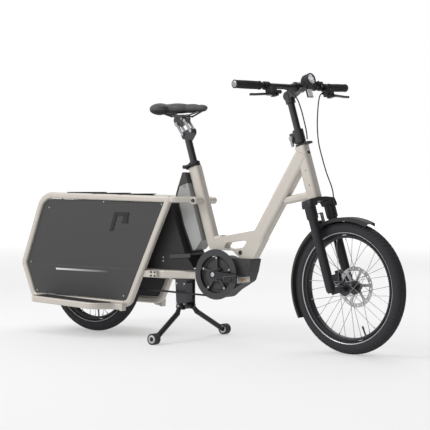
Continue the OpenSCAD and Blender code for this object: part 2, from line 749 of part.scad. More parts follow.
module pedal(side) {
    x = pedal_x(side > 0);
    z = pedal_z(side > 0);
    inner = crank_y + crank_t / 2 + 6;
    color([0.04, 0.04, 0.04]) mirror([0, side < 0 ? 1 : 0, 0]) {
        cross_rod(x, z, 5, crank_y - crank_t / 2 + 1, inner + 88);
        difference() {
            translate([x - 34, inner, z - 11]) cube([68, 90, 22]);
            for (s = [-1, 1]) translate([x + s * 20 - 9, inner + 10, z - 20]) cube([18, 70, 40]);
            cross_rod(x, z, 5, inner - 10, inner + 88);
        }
    }
}

// ---------------------------------------------------------------- wheels
module tyre() {
    color([0.06, 0.06, 0.062]) rotate([90, 0, 0]) rotate_extrude($fn = 96) translate([tube_mid_r, 0])
        difference() {
        circle(tyre_half_w, $fn = 64);
        circle(tyre_half_w - tyre_wall, $fn = 64);
        translate([-tyre_half_w * 2, -tyre_half_w * 2])
            square([tyre_half_w * 2 - (tube_mid_r - bead_r), tyre_half_w * 4]);
    }
}
module rim() {
    w = rim_half_w;
    color([0.05, 0.05, 0.05]) rotate([90, 0, 0]) rotate_extrude($fn = 96)
        polygon([[rim_inner_r, -w + 8], [rim_inner_r, w - 8], [bead_r - 7, w], [bead_r - gap, w],
            [bead_r - gap, w - 3],
            [bead_r - 5, w - 6], [bead_r - 5, 6 - w], [bead_r - gap, 3 - w], [bead_r - gap, -w],
            [bead_r - 7, -w]]);
}
module spokes(flange_r, flange_y) {
    per_side = spoke_count / 2;
    color([0.55, 0.55, 0.56]) for (side = [-1, 1], k = [0 : per_side - 1]) {
        at_rim = 360 * (k + (side > 0 ? 0.5 : 0)) / per_side;
        at_hub = at_rim + (k % 2 == 0 ? 68 : -68);
        rod([cos(at_hub) * (flange_r - 3), side * (flange_y + (k % 2 == 0 ? 1.9 : -1.9)),
            sin(at_hub) * (flange_r - 3)],
            [cos(at_rim) * (rim_inner_r + 2), side * 4, sin(at_rim) * (rim_inner_r + 2)], spoke_r, spoke_r);
    }
}
module hub(profile) {
    difference() {
        rotate([-90, 0, 0]) rotate_extrude() polygon(profile);
        rotate([90, 0, 0]) translate([0, 0, -150]) cylinder(h = 300, r = axle_r + slip);
    }
}
front_flange_r = 29;
rear_flange_r = 52;
front_rotor_y = 40;
rear_rotor_y = 53;
front_profile = [[0, 2 - front_over_w], [11, 2 - front_over_w], [11, -33], [front_flange_r, -32],
    [front_flange_r, -29],
    [15, -26], [15, 26], [front_flange_r, 29], [front_flange_r, 32], [24, 34], [24, front_rotor_y],
    [15, front_rotor_y],
    [15, 44], [11, 45], [11, front_over_w - 2], [0, front_over_w - 2]];
rear_profile = [[0, 1 - rear_over_w], [14, 1 - rear_over_w], [14, -48], [34, -46], [46, -38],
    [rear_flange_r, -34],
    [rear_flange_r, -31], [46, -28], [46, 28], [rear_flange_r, 31], [rear_flange_r, 34], [46, 38], [30, 44],
    [24, 46], [24, rear_rotor_y], [15, rear_rotor_y], [15, 57], [12, 60], [12, rear_over_w - 1],
    [0, rear_over_w - 1]];
module rotor(y) {
    color([0.45, 0.45, 0.46]) translate([0, y + slip, 0]) rotate([-90, 0, 0]) difference() {
        union() {
            difference() {
                cylinder(h = rotor_t, r = rotor_r, $fn = 96);
                translate([0, 0, -1]) cylinder(h = 9, r = rotor_r - rotor_band, $fn = 96);
                for (k = [0 : 17]) rotate([0, 0, 20 * k])
                    translate([rotor_r - rotor_band / 2, 0, -1]) cylinder(h = 9, r = 3.4);
            }
            cylinder(h = rotor_t, r = rotor_hub_r);
            for (k = [0 : 5]) rotate([0, 0, 60 * k]) linear_extrude(rotor_t)
                polygon([[rotor_hub_r - 4, -6], [rotor_r - rotor_band + 2, 4],
                    [rotor_r - rotor_band + 1, 15],
                    [rotor_hub_r - 5, 5]]);
        }
        translate([0, 0, -1]) cylinder(h = 9, r = 15 + gap);
    }
}
module rear_sprocket() {
    color([0.30, 0.30, 0.31]) translate([rear_x, 0, tyre_r]) difference() {
        side_plate(belt_y - belt_w / 2, belt_y + belt_w / 2) difference() {
            circle(sprocket_r - belt_under - gap, $fn = 72);
            circle(14 + slip);
            for (k = [0 : 4]) rotate(72 * k) translate([27, 0]) circle(6);
        }
    }
}

// ---------------------------------------------------------------- fork
module fork_crown() {
    color([0.035, 0.035, 0.037]) on_steering() difference() {
        union() {
            // steerer, hollow for the telescopic stem
            translate([0, 0, -14]) cylinder(h = head_len + 40, r = steerer_r + 0.7);
            translate([0, 0, -14]) cylinder(h = 13, r = 25);
            // cover on top of the head tube, with a nose that takes the rear brake hose
            translate([0, 0, head_len + gap]) cylinder(h = cover_t, r = 24);
            translate([0, -15, head_len + gap]) cube([46, 30, cover_t]);
            // crown arms
            rotate([90, 0, 90]) translate([0, 0, -8]) linear_extrude(44)
                polygon([[-84, -26], [-78, -8], [-26, -2],
                [26, -2], [78, -8], [84, -26], [84, -40], [40, -34], [34, -18], [-34, -18], [-40, -34],
                [-84, -40]]);
            for (side = [-1, 1]) translate([leg_forward, side * leg_spacing, socket_top - socket_len])
                cylinder(h = socket_len, r = socket_r);
        }
        translate([0, 0, 20]) cylinder(h = head_len + 40, r = stem_r + slip);
        for (side = [-1, 1]) translate([leg_forward, side * leg_spacing, socket_top - socket_len - 1])
            cylinder(h = socket_len - 8, r = leg_r + slip);
    }
}
stem_clamp_z = head_len + cover_t + 6;
module stem_clamp() {
    color([0.10, 0.10, 0.11]) on_steering() difference() {
        union() {
            translate([0, 0, stem_clamp_z]) cylinder(h = 54, r = 22);
            translate([-38, -12, stem_clamp_z + 8]) cube([26, 24, 40]);
        }
        translate([0, 0, stem_clamp_z - 1]) cylinder(h = 80, r = steerer_r + 0.7 + slip);
        translate([-44, -1.2, stem_clamp_z - 1]) cube([36, 2.4, 80]);
        translate([-30, 30, stem_clamp_z + 28]) rotate([90, 0, 0]) cylinder(h = 60, r = 3 + slip);
    }
}
module stem_lever() {
    color([0.40, 0.40, 0.41]) on_steering() translate([-30, 0, stem_clamp_z + 28]) {
        rotate([90, 0, 0]) translate([0, 0, -18]) cylinder(h = 32, r = 3);
        translate([0, -12 - gap, 0]) rotate([90, 0, 0]) cylinder(h = 8, r = 9);
        translate([0, 18 + gap, 0]) rotate([90, 0, 0]) cylinder(h = 6, r = 7);
        translate([-6, -20, -34]) cube([10, 7, 38]);
    }
}
leg_top = socket_top - socket_len + 10;
module fork_lowers() {
    dropout_y = front_over_w;
    color([0.03, 0.03, 0.032]) on_steering() {
        difference() {
            union() {
                for (side = [-1, 1]) {
                    translate([leg_forward, side * leg_spacing, -axle_down + 6])
                        cylinder(h = leg_top + axle_down - 6, r = leg_r);
                    translate([leg_forward, side * leg_spacing, -axle_down - 4])
                        cylinder(h = 10.5, r1 = leg_r - 5, r2 = leg_r - 0.2);
                    // dropout running forward to the axle
                    drop_y = side * (dropout_y + 7);
                    translate([fork_offset, drop_y + 7, -axle_down]) rotate([90, 0, 0])
                        cylinder(h = 14, r = 15);
                    translate([leg_forward, drop_y - 6.5, -axle_down - 12])
                        cube([fork_offset - leg_forward, 13, 26]);
                }
                // arch over the tyre, behind the legs
                for (side = [-1, 1])
                    rod([leg_forward - 8, side * (leg_spacing - 9), -176],
                        [leg_forward - 30, side * 34, -94], 7.5);
                rod([leg_forward - 30, -36, -94], [leg_forward - 30, 36, -94], 8.5);
                // brake mount on the left leg
                translate([leg_forward - 50, brake_mount_y, -axle_down + 26])
                    cube([46, leg_spacing + 4 - brake_mount_y, 60]);
            }
            translate([fork_offset, 0, -axle_down]) rotate([90, 0, 0]) translate([0, 0, -100])
                cylinder(h = 200, r = axle_r + slip);
        }
        // front axle
        translate([fork_offset, 0, -axle_down]) rotate([90, 0, 0]) translate([0, 0, -dropout_y - 12])
            cylinder(h = 2 * dropout_y + 24, r = axle_r);
    }
}
module front_caliper() {
    color([0.05, 0.05, 0.05]) on_steering()
        translate([leg_forward - 53, front_rotor_y - 10, -axle_down + 26]) difference() {
            cube([36, brake_mount_y - gap - front_rotor_y + 10, 46]);
            translate([8, 8, -20]) cube([80, 6, 54]);
        }
}
module front_fender() {
    color([0.02, 0.02, 0.02]) {
        at_front_axle() rotate([90, 0, 0]) rotate([0, 0, 50]) rotate_extrude(angle = 142, $fn = 96)
            polygon([[fender_r - 12, -fender_half_w], [fender_r, -fender_half_w + 8],
                [fender_r, fender_half_w - 8],
                [fender_r - 12, fender_half_w], [fender_r - 9, fender_half_w],
                [fender_r + fender_t, fender_half_w - 7],
                [fender_r + fender_t, -fender_half_w + 7], [fender_r - 9, -fender_half_w]]);
    }
}

// ---------------------------------------------------------------- stem and handlebar
quill_foot = 60;
module stem() {
    color([0.12, 0.12, 0.125]) on_steering() {
        translate([0, 0, quill_foot]) cylinder(h = bar_rise - 22 - quill_foot, r = stem_r);
        difference() {
            union() {
                translate([0, 0, bar_rise - 48]) cylinder(h = 44, r = 20);
                translate([0, 16, bar_rise - 18]) rotate([90, 0, 0]) cylinder(h = 32, r = 19);
                rotate([90, 0, 0]) translate([0, 0, -16]) linear_extrude(32) polygon([[0, bar_rise - 36],
                    [bar_forward, bar_rise - 19], [bar_forward, bar_rise + 19], [0, bar_rise]]);
                translate([bar_forward, 22, bar_rise]) rotate([90, 0, 0]) cylinder(h = 44, r = 21);
            }
            translate([bar_forward, 60, bar_rise]) rotate([90, 0, 0])
                cylinder(h = 120, r = bar_clamp_r + gap);
        }
    }
}
bar_half = bar_w / 2;
bar_inner = [bar_forward, 52, bar_rise];
bar_end = [bar_forward - bar_sweep, bar_half, bar_rise + bar_lift];
bar_dir = (bar_end - bar_inner) / norm(bar_end - bar_inner);
function along_bar(y) = bar_inner + bar_dir * (y - bar_inner[1]) / bar_dir[1];
module both_sides() {
    children();
    mirror([0, 1, 0]) children();
}
module handlebar() {
    color([0.04, 0.04, 0.042]) on_steering() {
        translate([bar_forward, 30, bar_rise]) rotate([90, 0, 0]) cylinder(h = 60, r = bar_clamp_r);
        both_sides() {
            rod([bar_forward, 30, bar_rise], bar_inner, bar_clamp_r, bar_r);
            translate(bar_inner) sphere(bar_r + 0.4);
            rod(bar_inner, along_bar(bar_half - 4), bar_r);
        }
    }
}
module grips() {
    color([0.015, 0.015, 0.015]) on_steering() both_sides() difference() {
        rod(along_bar(bar_half - grip_len), bar_end, grip_r);
        rod(along_bar(bar_half - grip_len - 10), along_bar(bar_half - 4), bar_r + gap / 10);
    }
}
mount_y = 182;
lever_pivot = [bar_forward + 14, 176, bar_rise - 34];
module lever_mounts() {
    color([0.03, 0.03, 0.03]) on_steering() both_sides() difference() {
        union() {
            rod(along_bar(mount_y - 11), along_bar(mount_y + 11), 16.5);
            translate(lever_pivot + [-28, -10, 0.5]) cube([37, 26, 28]);
            rod(lever_pivot + [-2, -42, 8], lever_pivot + [-2, 8, 8], 7.5);
            translate(lever_pivot + [-11, -12, -11]) cube([22, 24, 14]);
        }
        rod(along_bar(mount_y - 30), along_bar(mount_y + 30), bar_r + gap / 10);
        translate(lever_pivot + [0, 0, -20]) cylinder(h = 24, r = 3 + slip);
        translate(lever_pivot + [-20, -8, -7]) cube([60, 60, 7.7]);
    }
}
module brake_lever(side) {
    color([0.06, 0.06, 0.06]) on_steering() mirror([0, side < 0 ? 1 : 0, 0]) difference() {
        union() {
            translate(lever_pivot + [0, 0, -6.7]) cylinder(h = 7, r = 7);
            translate(lever_pivot + [0, 0, -6.7]) linear_extrude(7)
                polygon([[-5, 0], [7, 0], [10, 22], [3, 60], [-4, 104],
                [-6, 128], [-13, 128], [-13, 104], [-6, 60], [-3, 22]]);
            translate(lever_pivot + [-9.5, 128, -6.7]) cylinder(h = 7, r = 6);
            translate(lever_pivot + [0, 0, -10]) cylinder(h = 14, r = 3);
        }
    }
}
lamp_u = 84;
module headlight() {
    color([0.06, 0.06, 0.06]) on_steering() {
        translate([lamp_u, 0, bar_rise + 10]) rotate([0, 90, 0]) cylinder(h = 12, r1 = 15, r2 = 24);
        translate([lamp_u + 12, 0, bar_rise + 10]) rotate([0, 90, 0]) cylinder(h = 34, r = 24);
        translate([bar_forward + 21 + gap, -8, bar_rise - 8]) cube([lamp_u - bar_forward - 10, 16, 10]);
        translate([lamp_u + 8, -4, bar_rise - 26]) cube([6, 8, 16]);
        translate([lamp_u + 14, -17, bar_rise - 58]) rotate([0, 0, 0]) cube([8, 34, 34]);
        translate([lamp_u + 8, -4, bar_rise - 40]) cube([8, 8, 20]);
    }
}

// ---------------------------------------------------------------- brake hoses
hose_r = 2.5;
right_route = [[445.4, -170.5, 1025.1], [451, -160, 1028.5], [461, -147, 1030], [475, -131, 1027],
    [489, -108, 1016],
    [499, -82, 990], [505, -62, 950], [509, -46, 905], [510, -30, 865], [506, -18, 836]];
left_route = [[490.8, 123, 1026.2], [489.5, 113, 1023.5], [487.5, 106, 1016], [485, 103.5, 1004],
    [480, 105, 980],
    [476, 108, 950], [475, 107, 914], [482, 98, 870], [496, 86, 820], [516, 80, 764],
    [538, 78, 704], [558, 84, 650], [562, 92, 612], [557, 94, 576], [555, 92, 536],
    [560, 88, 490], [572, 82, 440], [588, 74, 396], [600, 66, 372]];
function spline(p, i, t) = let (a = p[max(i - 1, 0)], b = p[i], c = p[i + 1], d = p[min(i + 2, len(p) - 1)])
    0.5 * (2 * b + (c - a) * t + (2 * a - 5 * b + 4 * c - d) * t * t + (3 * b - 3 * c + d - a) * t * t * t);
function smooth_route(p,
    steps) = concat([for (i = [0 : len(p) - 2], k = [0 : steps - 1]) spline(p, i, k / steps)],
    [p[len(p) - 1]]);
function heading(p, i) = unit(p[min(i + 1, len(p) - 1)] - p[max(i - 1, 0)]);
function hose_ring(c, t) = let (a = unit(cross(t, [1, 0.2, 0])), b = cross(t, a))
    [for (k = [0 : 7]) c + hose_r * (cos(45 * k) * a + sin(45 * k) * b)];
module hose(route) {
    p = smooth_route(route, 2);
    n = len(p);
    color([0.02, 0.02, 0.02]) polyhedron(
        points = [for (i = [0 : n - 1]) each hose_ring(p[i], heading(p, i))],
        faces = concat([[for (k = [0 : 7]) k]],
            [for (i = [0 : n - 2], k = [0 : 7]) [8 * i + k, 8 * i + 8 + k, 8 * i + 8 + (k + 1) % 8,
            8 * i + (k + 1) % 8]],
            [[for (k = [7 : -1 : 0]) 8 * (n - 1) + k]]));
}

main_frame();
loop(-1);  // right_loop
loop(1);  // left_loop
rear_stays();
deck_bars();
panel(-1);  // right_panel
panel(1);  // left_panel
running_boards();
board_treads();
wheel_guards();
motor_cover();
belt();
battery();
seat_collar();
stand_bracket();
headset_cups();
rear_caliper();
frame_bolts();
seat_lever();
seatpost();
link_front();
link_rear();
saddle_clamp();
saddle();
latch(-1);  // right_latch
latch(1);  // left_latch
stand_legs();
stand_wheel(-1);  // right_stand_wheel
stand_wheel(1);  // left_stand_wheel
right_crank();
left_crank();
belt_ring();
pedal(-1);  // right_pedal
pedal(1);  // left_pedal
at_rear_axle() tyre();  // rear_tyre
at_rear_axle() rim();  // rear_rim
color([0.06, 0.06, 0.06]) at_rear_axle() hub(rear_profile);  // rear_hub
at_rear_axle() spokes(rear_flange_r, 32.5);  // rear_spokes
at_rear_axle() rotor(rear_rotor_y);  // rear_rotor
rear_sprocket();
at_front_axle() tyre();  // front_tyre
at_front_axle() rim();  // front_rim
color([0.06, 0.06, 0.06]) at_front_axle() hub(front_profile);  // front_hub
at_front_axle() spokes(front_flange_r, 30.5);  // front_spokes
at_front_axle() rotor(front_rotor_y);  // front_rotor
fork_crown();
stem_clamp();
stem_lever();
stem();
handlebar();
grips();
lever_mounts();
headlight();
brake_lever(-1);  // right_lever
brake_lever(1);  // left_lever
fork_lowers();
front_caliper();
front_fender();
hose(right_route);  // right_hose
hose(left_route);  // left_hose
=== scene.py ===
"""Cargo bicycle: detailed pieces, finishes and stage over the exact model's frame."""

import json
import math

import bmesh
import bpy
from mathutils import Matrix, Vector


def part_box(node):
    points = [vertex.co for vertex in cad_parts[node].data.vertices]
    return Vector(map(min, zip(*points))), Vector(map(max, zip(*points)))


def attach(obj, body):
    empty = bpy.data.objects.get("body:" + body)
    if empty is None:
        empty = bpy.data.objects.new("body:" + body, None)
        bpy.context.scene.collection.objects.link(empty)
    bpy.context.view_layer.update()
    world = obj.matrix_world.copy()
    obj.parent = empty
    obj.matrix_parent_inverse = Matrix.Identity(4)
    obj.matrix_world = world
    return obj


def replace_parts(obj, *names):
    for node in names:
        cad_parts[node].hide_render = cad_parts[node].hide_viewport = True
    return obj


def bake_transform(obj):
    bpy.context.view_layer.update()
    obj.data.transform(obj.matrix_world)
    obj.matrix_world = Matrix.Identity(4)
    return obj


bl_info = {
    "name": "Cargo bicycle dressing",
    "version": (1, 0, 0),
    "blender": (4, 5, 0),
    "location": "View3D > Sidebar > Cargo bicycle",
    "description": "Adds the fine pieces, the finishes and the studio of a cargo bicycle",
    "category": "Object",
}

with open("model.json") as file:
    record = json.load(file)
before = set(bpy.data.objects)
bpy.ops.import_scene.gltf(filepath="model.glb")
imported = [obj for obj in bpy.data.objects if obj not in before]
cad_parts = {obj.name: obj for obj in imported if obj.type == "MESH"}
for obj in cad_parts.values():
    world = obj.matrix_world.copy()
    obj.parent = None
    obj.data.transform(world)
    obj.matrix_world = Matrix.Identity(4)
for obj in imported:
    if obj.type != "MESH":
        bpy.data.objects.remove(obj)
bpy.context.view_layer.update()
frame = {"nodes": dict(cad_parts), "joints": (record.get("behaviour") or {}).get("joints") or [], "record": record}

MM = 0.001
FULL_TURN = 2 * math.pi
SIDES = {"right": -1, "left": 1}
JOINTS = {j["name"]: j for j in frame["joints"]}


# ---------------------------------------------------------------- places taken from the frame
def place(forward, left, up, origin):
    """Frame of reference whose x is forward, y is left and z is up."""
    turned = Matrix((forward, left, up)).transposed().to_4x4()
    return Matrix.Translation(origin) @ turned


def joint_point(name):
    return Vector(JOINTS[name]["pos_m"])


def joint_axis(name):
    return Vector(JOINTS[name]["axis"]).normalized()


LEFT = Vector((0, 1, 0))
head_up = joint_axis("steer")
bars_left = joint_axis("front_wheel_spin")
bars_left = bars_left if bars_left.y > 0 else -bars_left
seat_up = joint_axis("seat_height")

HEAD = place(LEFT.cross(head_up), LEFT, head_up, joint_point("steer"))
STEERING = place(bars_left.cross(head_up), bars_left, head_up, joint_point("steer"))
FRONT_WHEEL = place(bars_left.cross(head_up), bars_left, head_up, joint_point("front_wheel_spin"))
REAR_WHEEL = Matrix.Translation(joint_point("rear_wheel_spin"))
SPINDLE = Matrix.Translation(joint_point("crank_spin"))
WORLD = Matrix.Identity(4)


# ---------------------------------------------------------------- sizes and colours a user can change
def length(name, about, default, lowest=0.0, highest=1.0):
    return bpy.props.FloatProperty(name=name, description=about, default=default, min=lowest,
                                   max=highest, unit="LENGTH", precision=4)


def colour(name, about, default):
    return bpy.props.FloatVectorProperty(name=name, description=about, default=default, size=3,
                                         min=0.0, max=1.0, subtype="COLOR")


class CargoBikeSizes(bpy.types.PropertyGroup):
    """Sizes of the pieces that are added to the exact model."""

    tread_depth: length("Tread depth", "Height of the tread blocks over the casing", 1.6 * MM, 0, 0.004)
    tyre_wall: length("Tyre wall", "Thickness of the tyre casing", 3.0 * MM, 0.001, 0.006)
    tread_pitch: length("Tread pitch", "Distance from one tread block to the next", 19 * MM, 0.01, 0.04)
    reflex_width: length("Reflex band", "Width of the reflective band on the tyre", 3.4 * MM, 0.001, 0.01)
    grip_rib: length("Grip rib", "Distance between two ribs of a grip", 5 * MM, 0.002, 0.02)
    hose_radius: length("Hose radius", "Radius of the brake hoses", 2.5 * MM, 0.001, 0.005)
    bell_radius: length("Bell radius", "Radius of the bell's dome", 15 * MM, 0.01, 0.03)
    screw_radius: length("Screw radius", "Radius of the panel screws", 3.4 * MM, 0.001, 0.008)
    saddle_voxel: length("Saddle grid", "Grid of the padded saddle before it is inflated", 4.5 * MM, 0.003, 0.008)
    saddle_seam: length("Saddle seam", "Depth of the channel along the saddle", 3.0 * MM, 0, 0.008)


class CargoBikeColours(bpy.types.PropertyGroup):
    """Colours of the finishes."""

    frame: colour("Frame", "Satin paint of the frame", (0.30, 0.281, 0.250))
    black: colour("Black paint", "Satin black paint of the fork and bars", (0.017, 0.017, 0.018))
    panel: colour("Panels", "Grained plastic of the side panels", (0.024, 0.023, 0.025))
    plastic: colour("Black plastic", "Moulded plastic of the guards", (0.010, 0.010, 0.011))
    tyre: colour("Tyre", "Rubber of the tyres", (0.021, 0.021, 0.022))
    rubber: colour("Rubber", "Rubber of grips, treads and rollers", (0.022, 0.022, 0.023))
    saddle: colour("Saddle", "Coated cloth of the saddle", (0.058, 0.057, 0.060))
    battery: colour("Battery", "Brushed case of the battery", (0.19, 0.195, 0.19))
    steel: colour("Steel", "Bare steel of spokes and screws", (0.56, 0.56, 0.57))
    alloy: colour("Grey alloy", "Grey anodised alloy", (0.20, 0.20, 0.21))
    dark_alloy: colour("Dark alloy", "Dark anodised alloy", (0.055, 0.056, 0.06))
    amber: colour("Amber", "Amber reflectors on the pedals", (0.60, 0.29, 0.03))
    floor: colour("Floor", "Floor and backdrop of the studio", (0.50, 0.50, 0.50))


def sizes():
    return bpy.context.scene.cargo_bike_sizes


def colours():
    return bpy.context.scene.cargo_bike_colours


# ---------------------------------------------------------------- finishes
class Finish:
    """A material with its shader and short calls for the nodes that feed it."""

    def __init__(self, name):
        self.material = bpy.data.materials.new(name)
        self.material.use_nodes = True
        self.tree = self.material.node_tree
        self.shader = self.tree.nodes["Principled BSDF"]
        self.where = self.tree.nodes.new("ShaderNodeTexCoord").outputs["Object"]

    def add(self, kind, inputs=(), **settings):
        node = self.tree.nodes.new(kind)
        for key, value in settings.items():
            setattr(node, key, value)
        for socket, value in dict(inputs).items():
            if isinstance(value, bpy.types.NodeSocket):
                self.tree.links.new(value, node.inputs[socket])
            else:
                node.inputs[socket].default_value = value
        return node

    def set(self, **values):
        """Sets the shader's own sockets, or links a texture to them."""
        for key, value in values.items():
            socket = self.shader.inputs[key.replace("_", " ").title().replace("Ior", "IOR")]
            if isinstance(value, bpy.types.NodeSocket):
                self.tree.links.new(value, socket)
            else:
                socket.default_value = value
        return self

    def noise(self, scale, detail=2.0, stretch=(1, 1, 1)):
        spread = self.add("ShaderNodeMapping", {"Vector": self.where, "Scale": stretch})
        return self.add("ShaderNodeTexNoise", {"Vector": spread.outputs["Vector"], "Scale": scale,
                                               "Detail": detail}).outputs["Fac"]

    def between(self, amount, low, high, start=0.3, end=0.7):
        return self.add("ShaderNodeMapRange", {"Value": amount, "From Min": start, "From Max": end,
                                               "To Min": low, "To Max": high}).outputs["Result"]

    def mixed(self, amount, dark, light):
        ramp = self.add("ShaderNodeValToRGB", {"Fac": amount})
        ramp.color_ramp.elements[0].color = (*dark, 1)
        ramp.color_ramp.elements[1].color = (*light, 1)
        ramp.color_ramp.elements[0].position = 0.3
        ramp.color_ramp.elements[1].position = 0.7
        return ramp.outputs["Color"]

    def bumps(self, height, strength, depth):
        return self.add("ShaderNodeBump", {"Height": height, "Strength": strength,
                                           "Distance": depth}).outputs["Normal"]


def shade(rgb, factor):
    return tuple(min(1.0, c * factor) for c in rgb)


def grained(name, rgb, roughness, grain_scale, grain_depth, mottle=0.06, **shader):
    """Coloured surface with slight mottling, uneven gloss and a fine grain."""
    made = Finish(name)
    broad = made.noise(9.0, 3.0)
    made.set(base_color=made.mixed(broad, shade(rgb, 1 - mottle), shade(rgb, 1 + mottle)),
             roughness=made.between(made.noise(34.0, 3.0), roughness * 0.9, roughness * 1.1),
             normal=made.bumps(made.noise(grain_scale, 2.0), 0.35, grain_depth))
    return made.set(**shader).material


def frame_paint():
    return grained("frame_paint", colours().frame, 0.36, 900, 0.00006, 0.02, coat_weight=0.25,
                   coat_roughness=0.25)


def black_paint():
    return grained("black_paint", colours().black, 0.34, 900, 0.00006, 0.05, coat_weight=0.2,
                   coat_roughness=0.2)


def panel_plastic():
    return grained("panel_plastic", colours().panel, 0.55, 1500, 0.00025, 0.05, specular_ior_level=0.3)


def black_plastic():
    return grained("black_plastic", colours().plastic, 0.40, 1100, 0.0001)


def tread_rubber():
    return grained("tread_rubber", colours().rubber, 0.72, 700, 0.00035, 0.12)


def belt_rubber():
    return grained("belt_rubber", shade(colours().rubber, 0.9), 0.55, 1200, 0.0002)


def grip_rubber():
    return grained("grip_rubber", shade(colours().rubber, 0.85), 0.66, 1400, 0.00025)


def hose_rubber():
    return grained("hose_rubber", shade(colours().rubber, 0.7), 0.38, 1600, 0.00005)


def dark_anodised():
    return grained("dark_anodised", colours().dark_alloy, 0.38, 1400, 0.00005, metallic=0.55)


def grey_alloy():
    return grained("grey_alloy", colours().alloy, 0.36, 1200, 0.00005, metallic=0.8)


def tyre():
    made = Finish("tyre")
    dust = made.noise(55.0, 5.0)
    made.set(base_color=made.mixed(dust, shade(colours().tyre, 0.85), shade(colours().tyre, 1.25)),
             roughness=made.between(dust, 0.62, 0.8),
             normal=made.bumps(made.noise(650.0, 3.0), 0.4, 0.0003))
    return made.material


def steel():
    made = Finish("steel")
    brushed = made.noise(420.0, 2.0, (1, 0.15, 1))
    made.set(base_color=made.mixed(brushed, shade(colours().steel, 0.92), shade(colours().steel, 1.08)),
             roughness=made.between(brushed, 0.22, 0.34), metallic=1.0)
    return made.material


def battery_case():
    """Brushed silver-grey case: the lines run along the seat tube."""
    made = Finish("battery_case")
    lines = made.noise(260.0, 3.0, (1.0, 1.0, 0.06))
    made.set(base_color=made.mixed(lines, shade(colours().battery, 0.95), shade(colours().battery, 1.05)),
             roughness=made.between(lines, 0.38, 0.46), metallic=0.35,
             normal=made.bumps(lines, 0.08, 0.0001))
    return made.material


def saddle_skin():
    """Coated cloth with a fine pebbled face."""
    made = Finish("saddle_skin")
    pebble = made.add("ShaderNodeTexVoronoi", {"Vector": made.where, "Scale": 620.0}).outputs["Distance"]
    made.set(base_color=made.mixed(made.noise(40.0, 4.0), shade(colours().saddle, 0.85),
                                   shade(colours().saddle, 1.15)),
             roughness=made.between(pebble, 0.42, 0.56, 0.0, 0.6),
             normal=made.bumps(pebble, 0.3, 0.0003), sheen_weight=0.35, sheen_roughness=0.4)
    return made.material


def clear_lens():
    made = Finish("clear_lens")
    made.set(base_color=(0.95, 0.96, 0.97, 1), transmission_weight=1.0, ior=1.45,
             roughness=made.between(made.noise(60.0), 0.02, 0.05))
    return made.material


def prisms(name, rgb):
    """Moulded reflector: a raised lattice of small prisms under a glossy face."""
    made = Finish(name)
    cells = made.add("ShaderNodeTexVoronoi", {"Vector": made.where, "Scale": 330.0},
                     distance="CHEBYCHEV").outputs["Distance"]
    made.set(base_color=made.mixed(cells, shade(rgb, 1.15), shade(rgb, 0.6)), roughness=0.12,
             normal=made.bumps(cells, 0.7, 0.001), coat_weight=0.8, coat_roughness=0.05)
    return made.material


def amber_reflector():
    return prisms("amber_reflector", colours().amber)


def clear_reflector():
    return prisms("clear_reflector", (0.72, 0.73, 0.75))


def reflective_strip():
    return grained("reflective_strip", (0.52, 0.53, 0.54), 0.32, 900, 0.0001, metallic=0.35)


def fading_stripe():
    """Printed stripe that fades from white at the rear to the panel's own colour."""
    made = Finish("fading_stripe")
    low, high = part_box("right_panel")
    along = made.add("ShaderNodeSeparateXYZ", {"Vector": made.where}).outputs["X"]
    faded = made.between(along, 0.0, 1.0, low.x + STRIPE_START, low.x + STRIPE_END)
    ramp = made.add("ShaderNodeValToRGB", {"Fac": faded})
    ramp.color_ramp.elements[0].color = (0.72, 0.72, 0.72, 1)
    ramp.color_ramp.elements[1].color = (*colours().panel, 1)
    made.set(base_color=ramp.outputs["Color"], roughness=made.between(made.noise(80.0), 0.42, 0.5))
    return made.material


def mirror_bowl():
    made = Finish("mirror_bowl")
    made.set(base_color=(0.85, 0.86, 0.88, 1), metallic=1.0,
             roughness=made.between(made.noise(90.0), 0.08, 0.14))
    return made.material


FINISHES = {f.__name__: f for f in (
    frame_paint, black_paint, panel_plastic, black_plastic, tread_rubber, belt_rubber, grip_rubber,
    hose_rubber, dark_anodised, grey_alloy, tyre, steel, battery_case, saddle_skin, clear_lens,
    amber_reflector, clear_reflector, reflective_strip, fading_stripe, mirror_bowl)}
STRIPE_START = 0.178
STRIPE_END = 0.50


def finish(name):
    """The material of that name, made the first time it is asked for."""
    return bpy.data.materials.get(name) or FINISHES[name]()


# ---------------------------------------------------------------- modelling with bmesh
def aim(start, end):
    """Frame at the middle of start and end, with z along them."""
    start, end = Vector(start), Vector(end)
    turn = (end - start).to_track_quat("Z", "Y").to_matrix().to_4x4()
    return Matrix.Translation((start + end) / 2) @ turn


def add_rod(bm, start, end, radius, end_radius=None, sides=20, at=WORLD):
    """Round bar between two points."""
    start, end = at @ Vector(start), at @ Vector(end)
    return bmesh.ops.create_cone(bm, cap_ends=True, segments=sides, radius1=radius,
                                 radius2=radius if end_radius is None else end_radius,
                                 depth=(end - start).length, matrix=aim(start, end))["verts"]


def add_block(bm, low, high, at=WORLD, round_by=0.0, turn=None):
    """Block between two corners of the frame `at`, with its edges rounded."""
    low, high = Vector(low), Vector(high)
    own = at @ Matrix.Translation((low + high) / 2)
    if turn is not None:
        own = own @ turn
    size = Matrix.Diagonal((*(high - low), 1))
    verts = bmesh.ops.create_cube(bm, size=1, matrix=own @ size)["verts"]
    if round_by:
        edges = list({e for v in verts for e in v.link_edges})
        bmesh.ops.bevel(bm, geom=edges, offset=round_by, offset_type="OFFSET", segments=2,
                        profile=0.5, affect="EDGES", material=-1)
    return verts


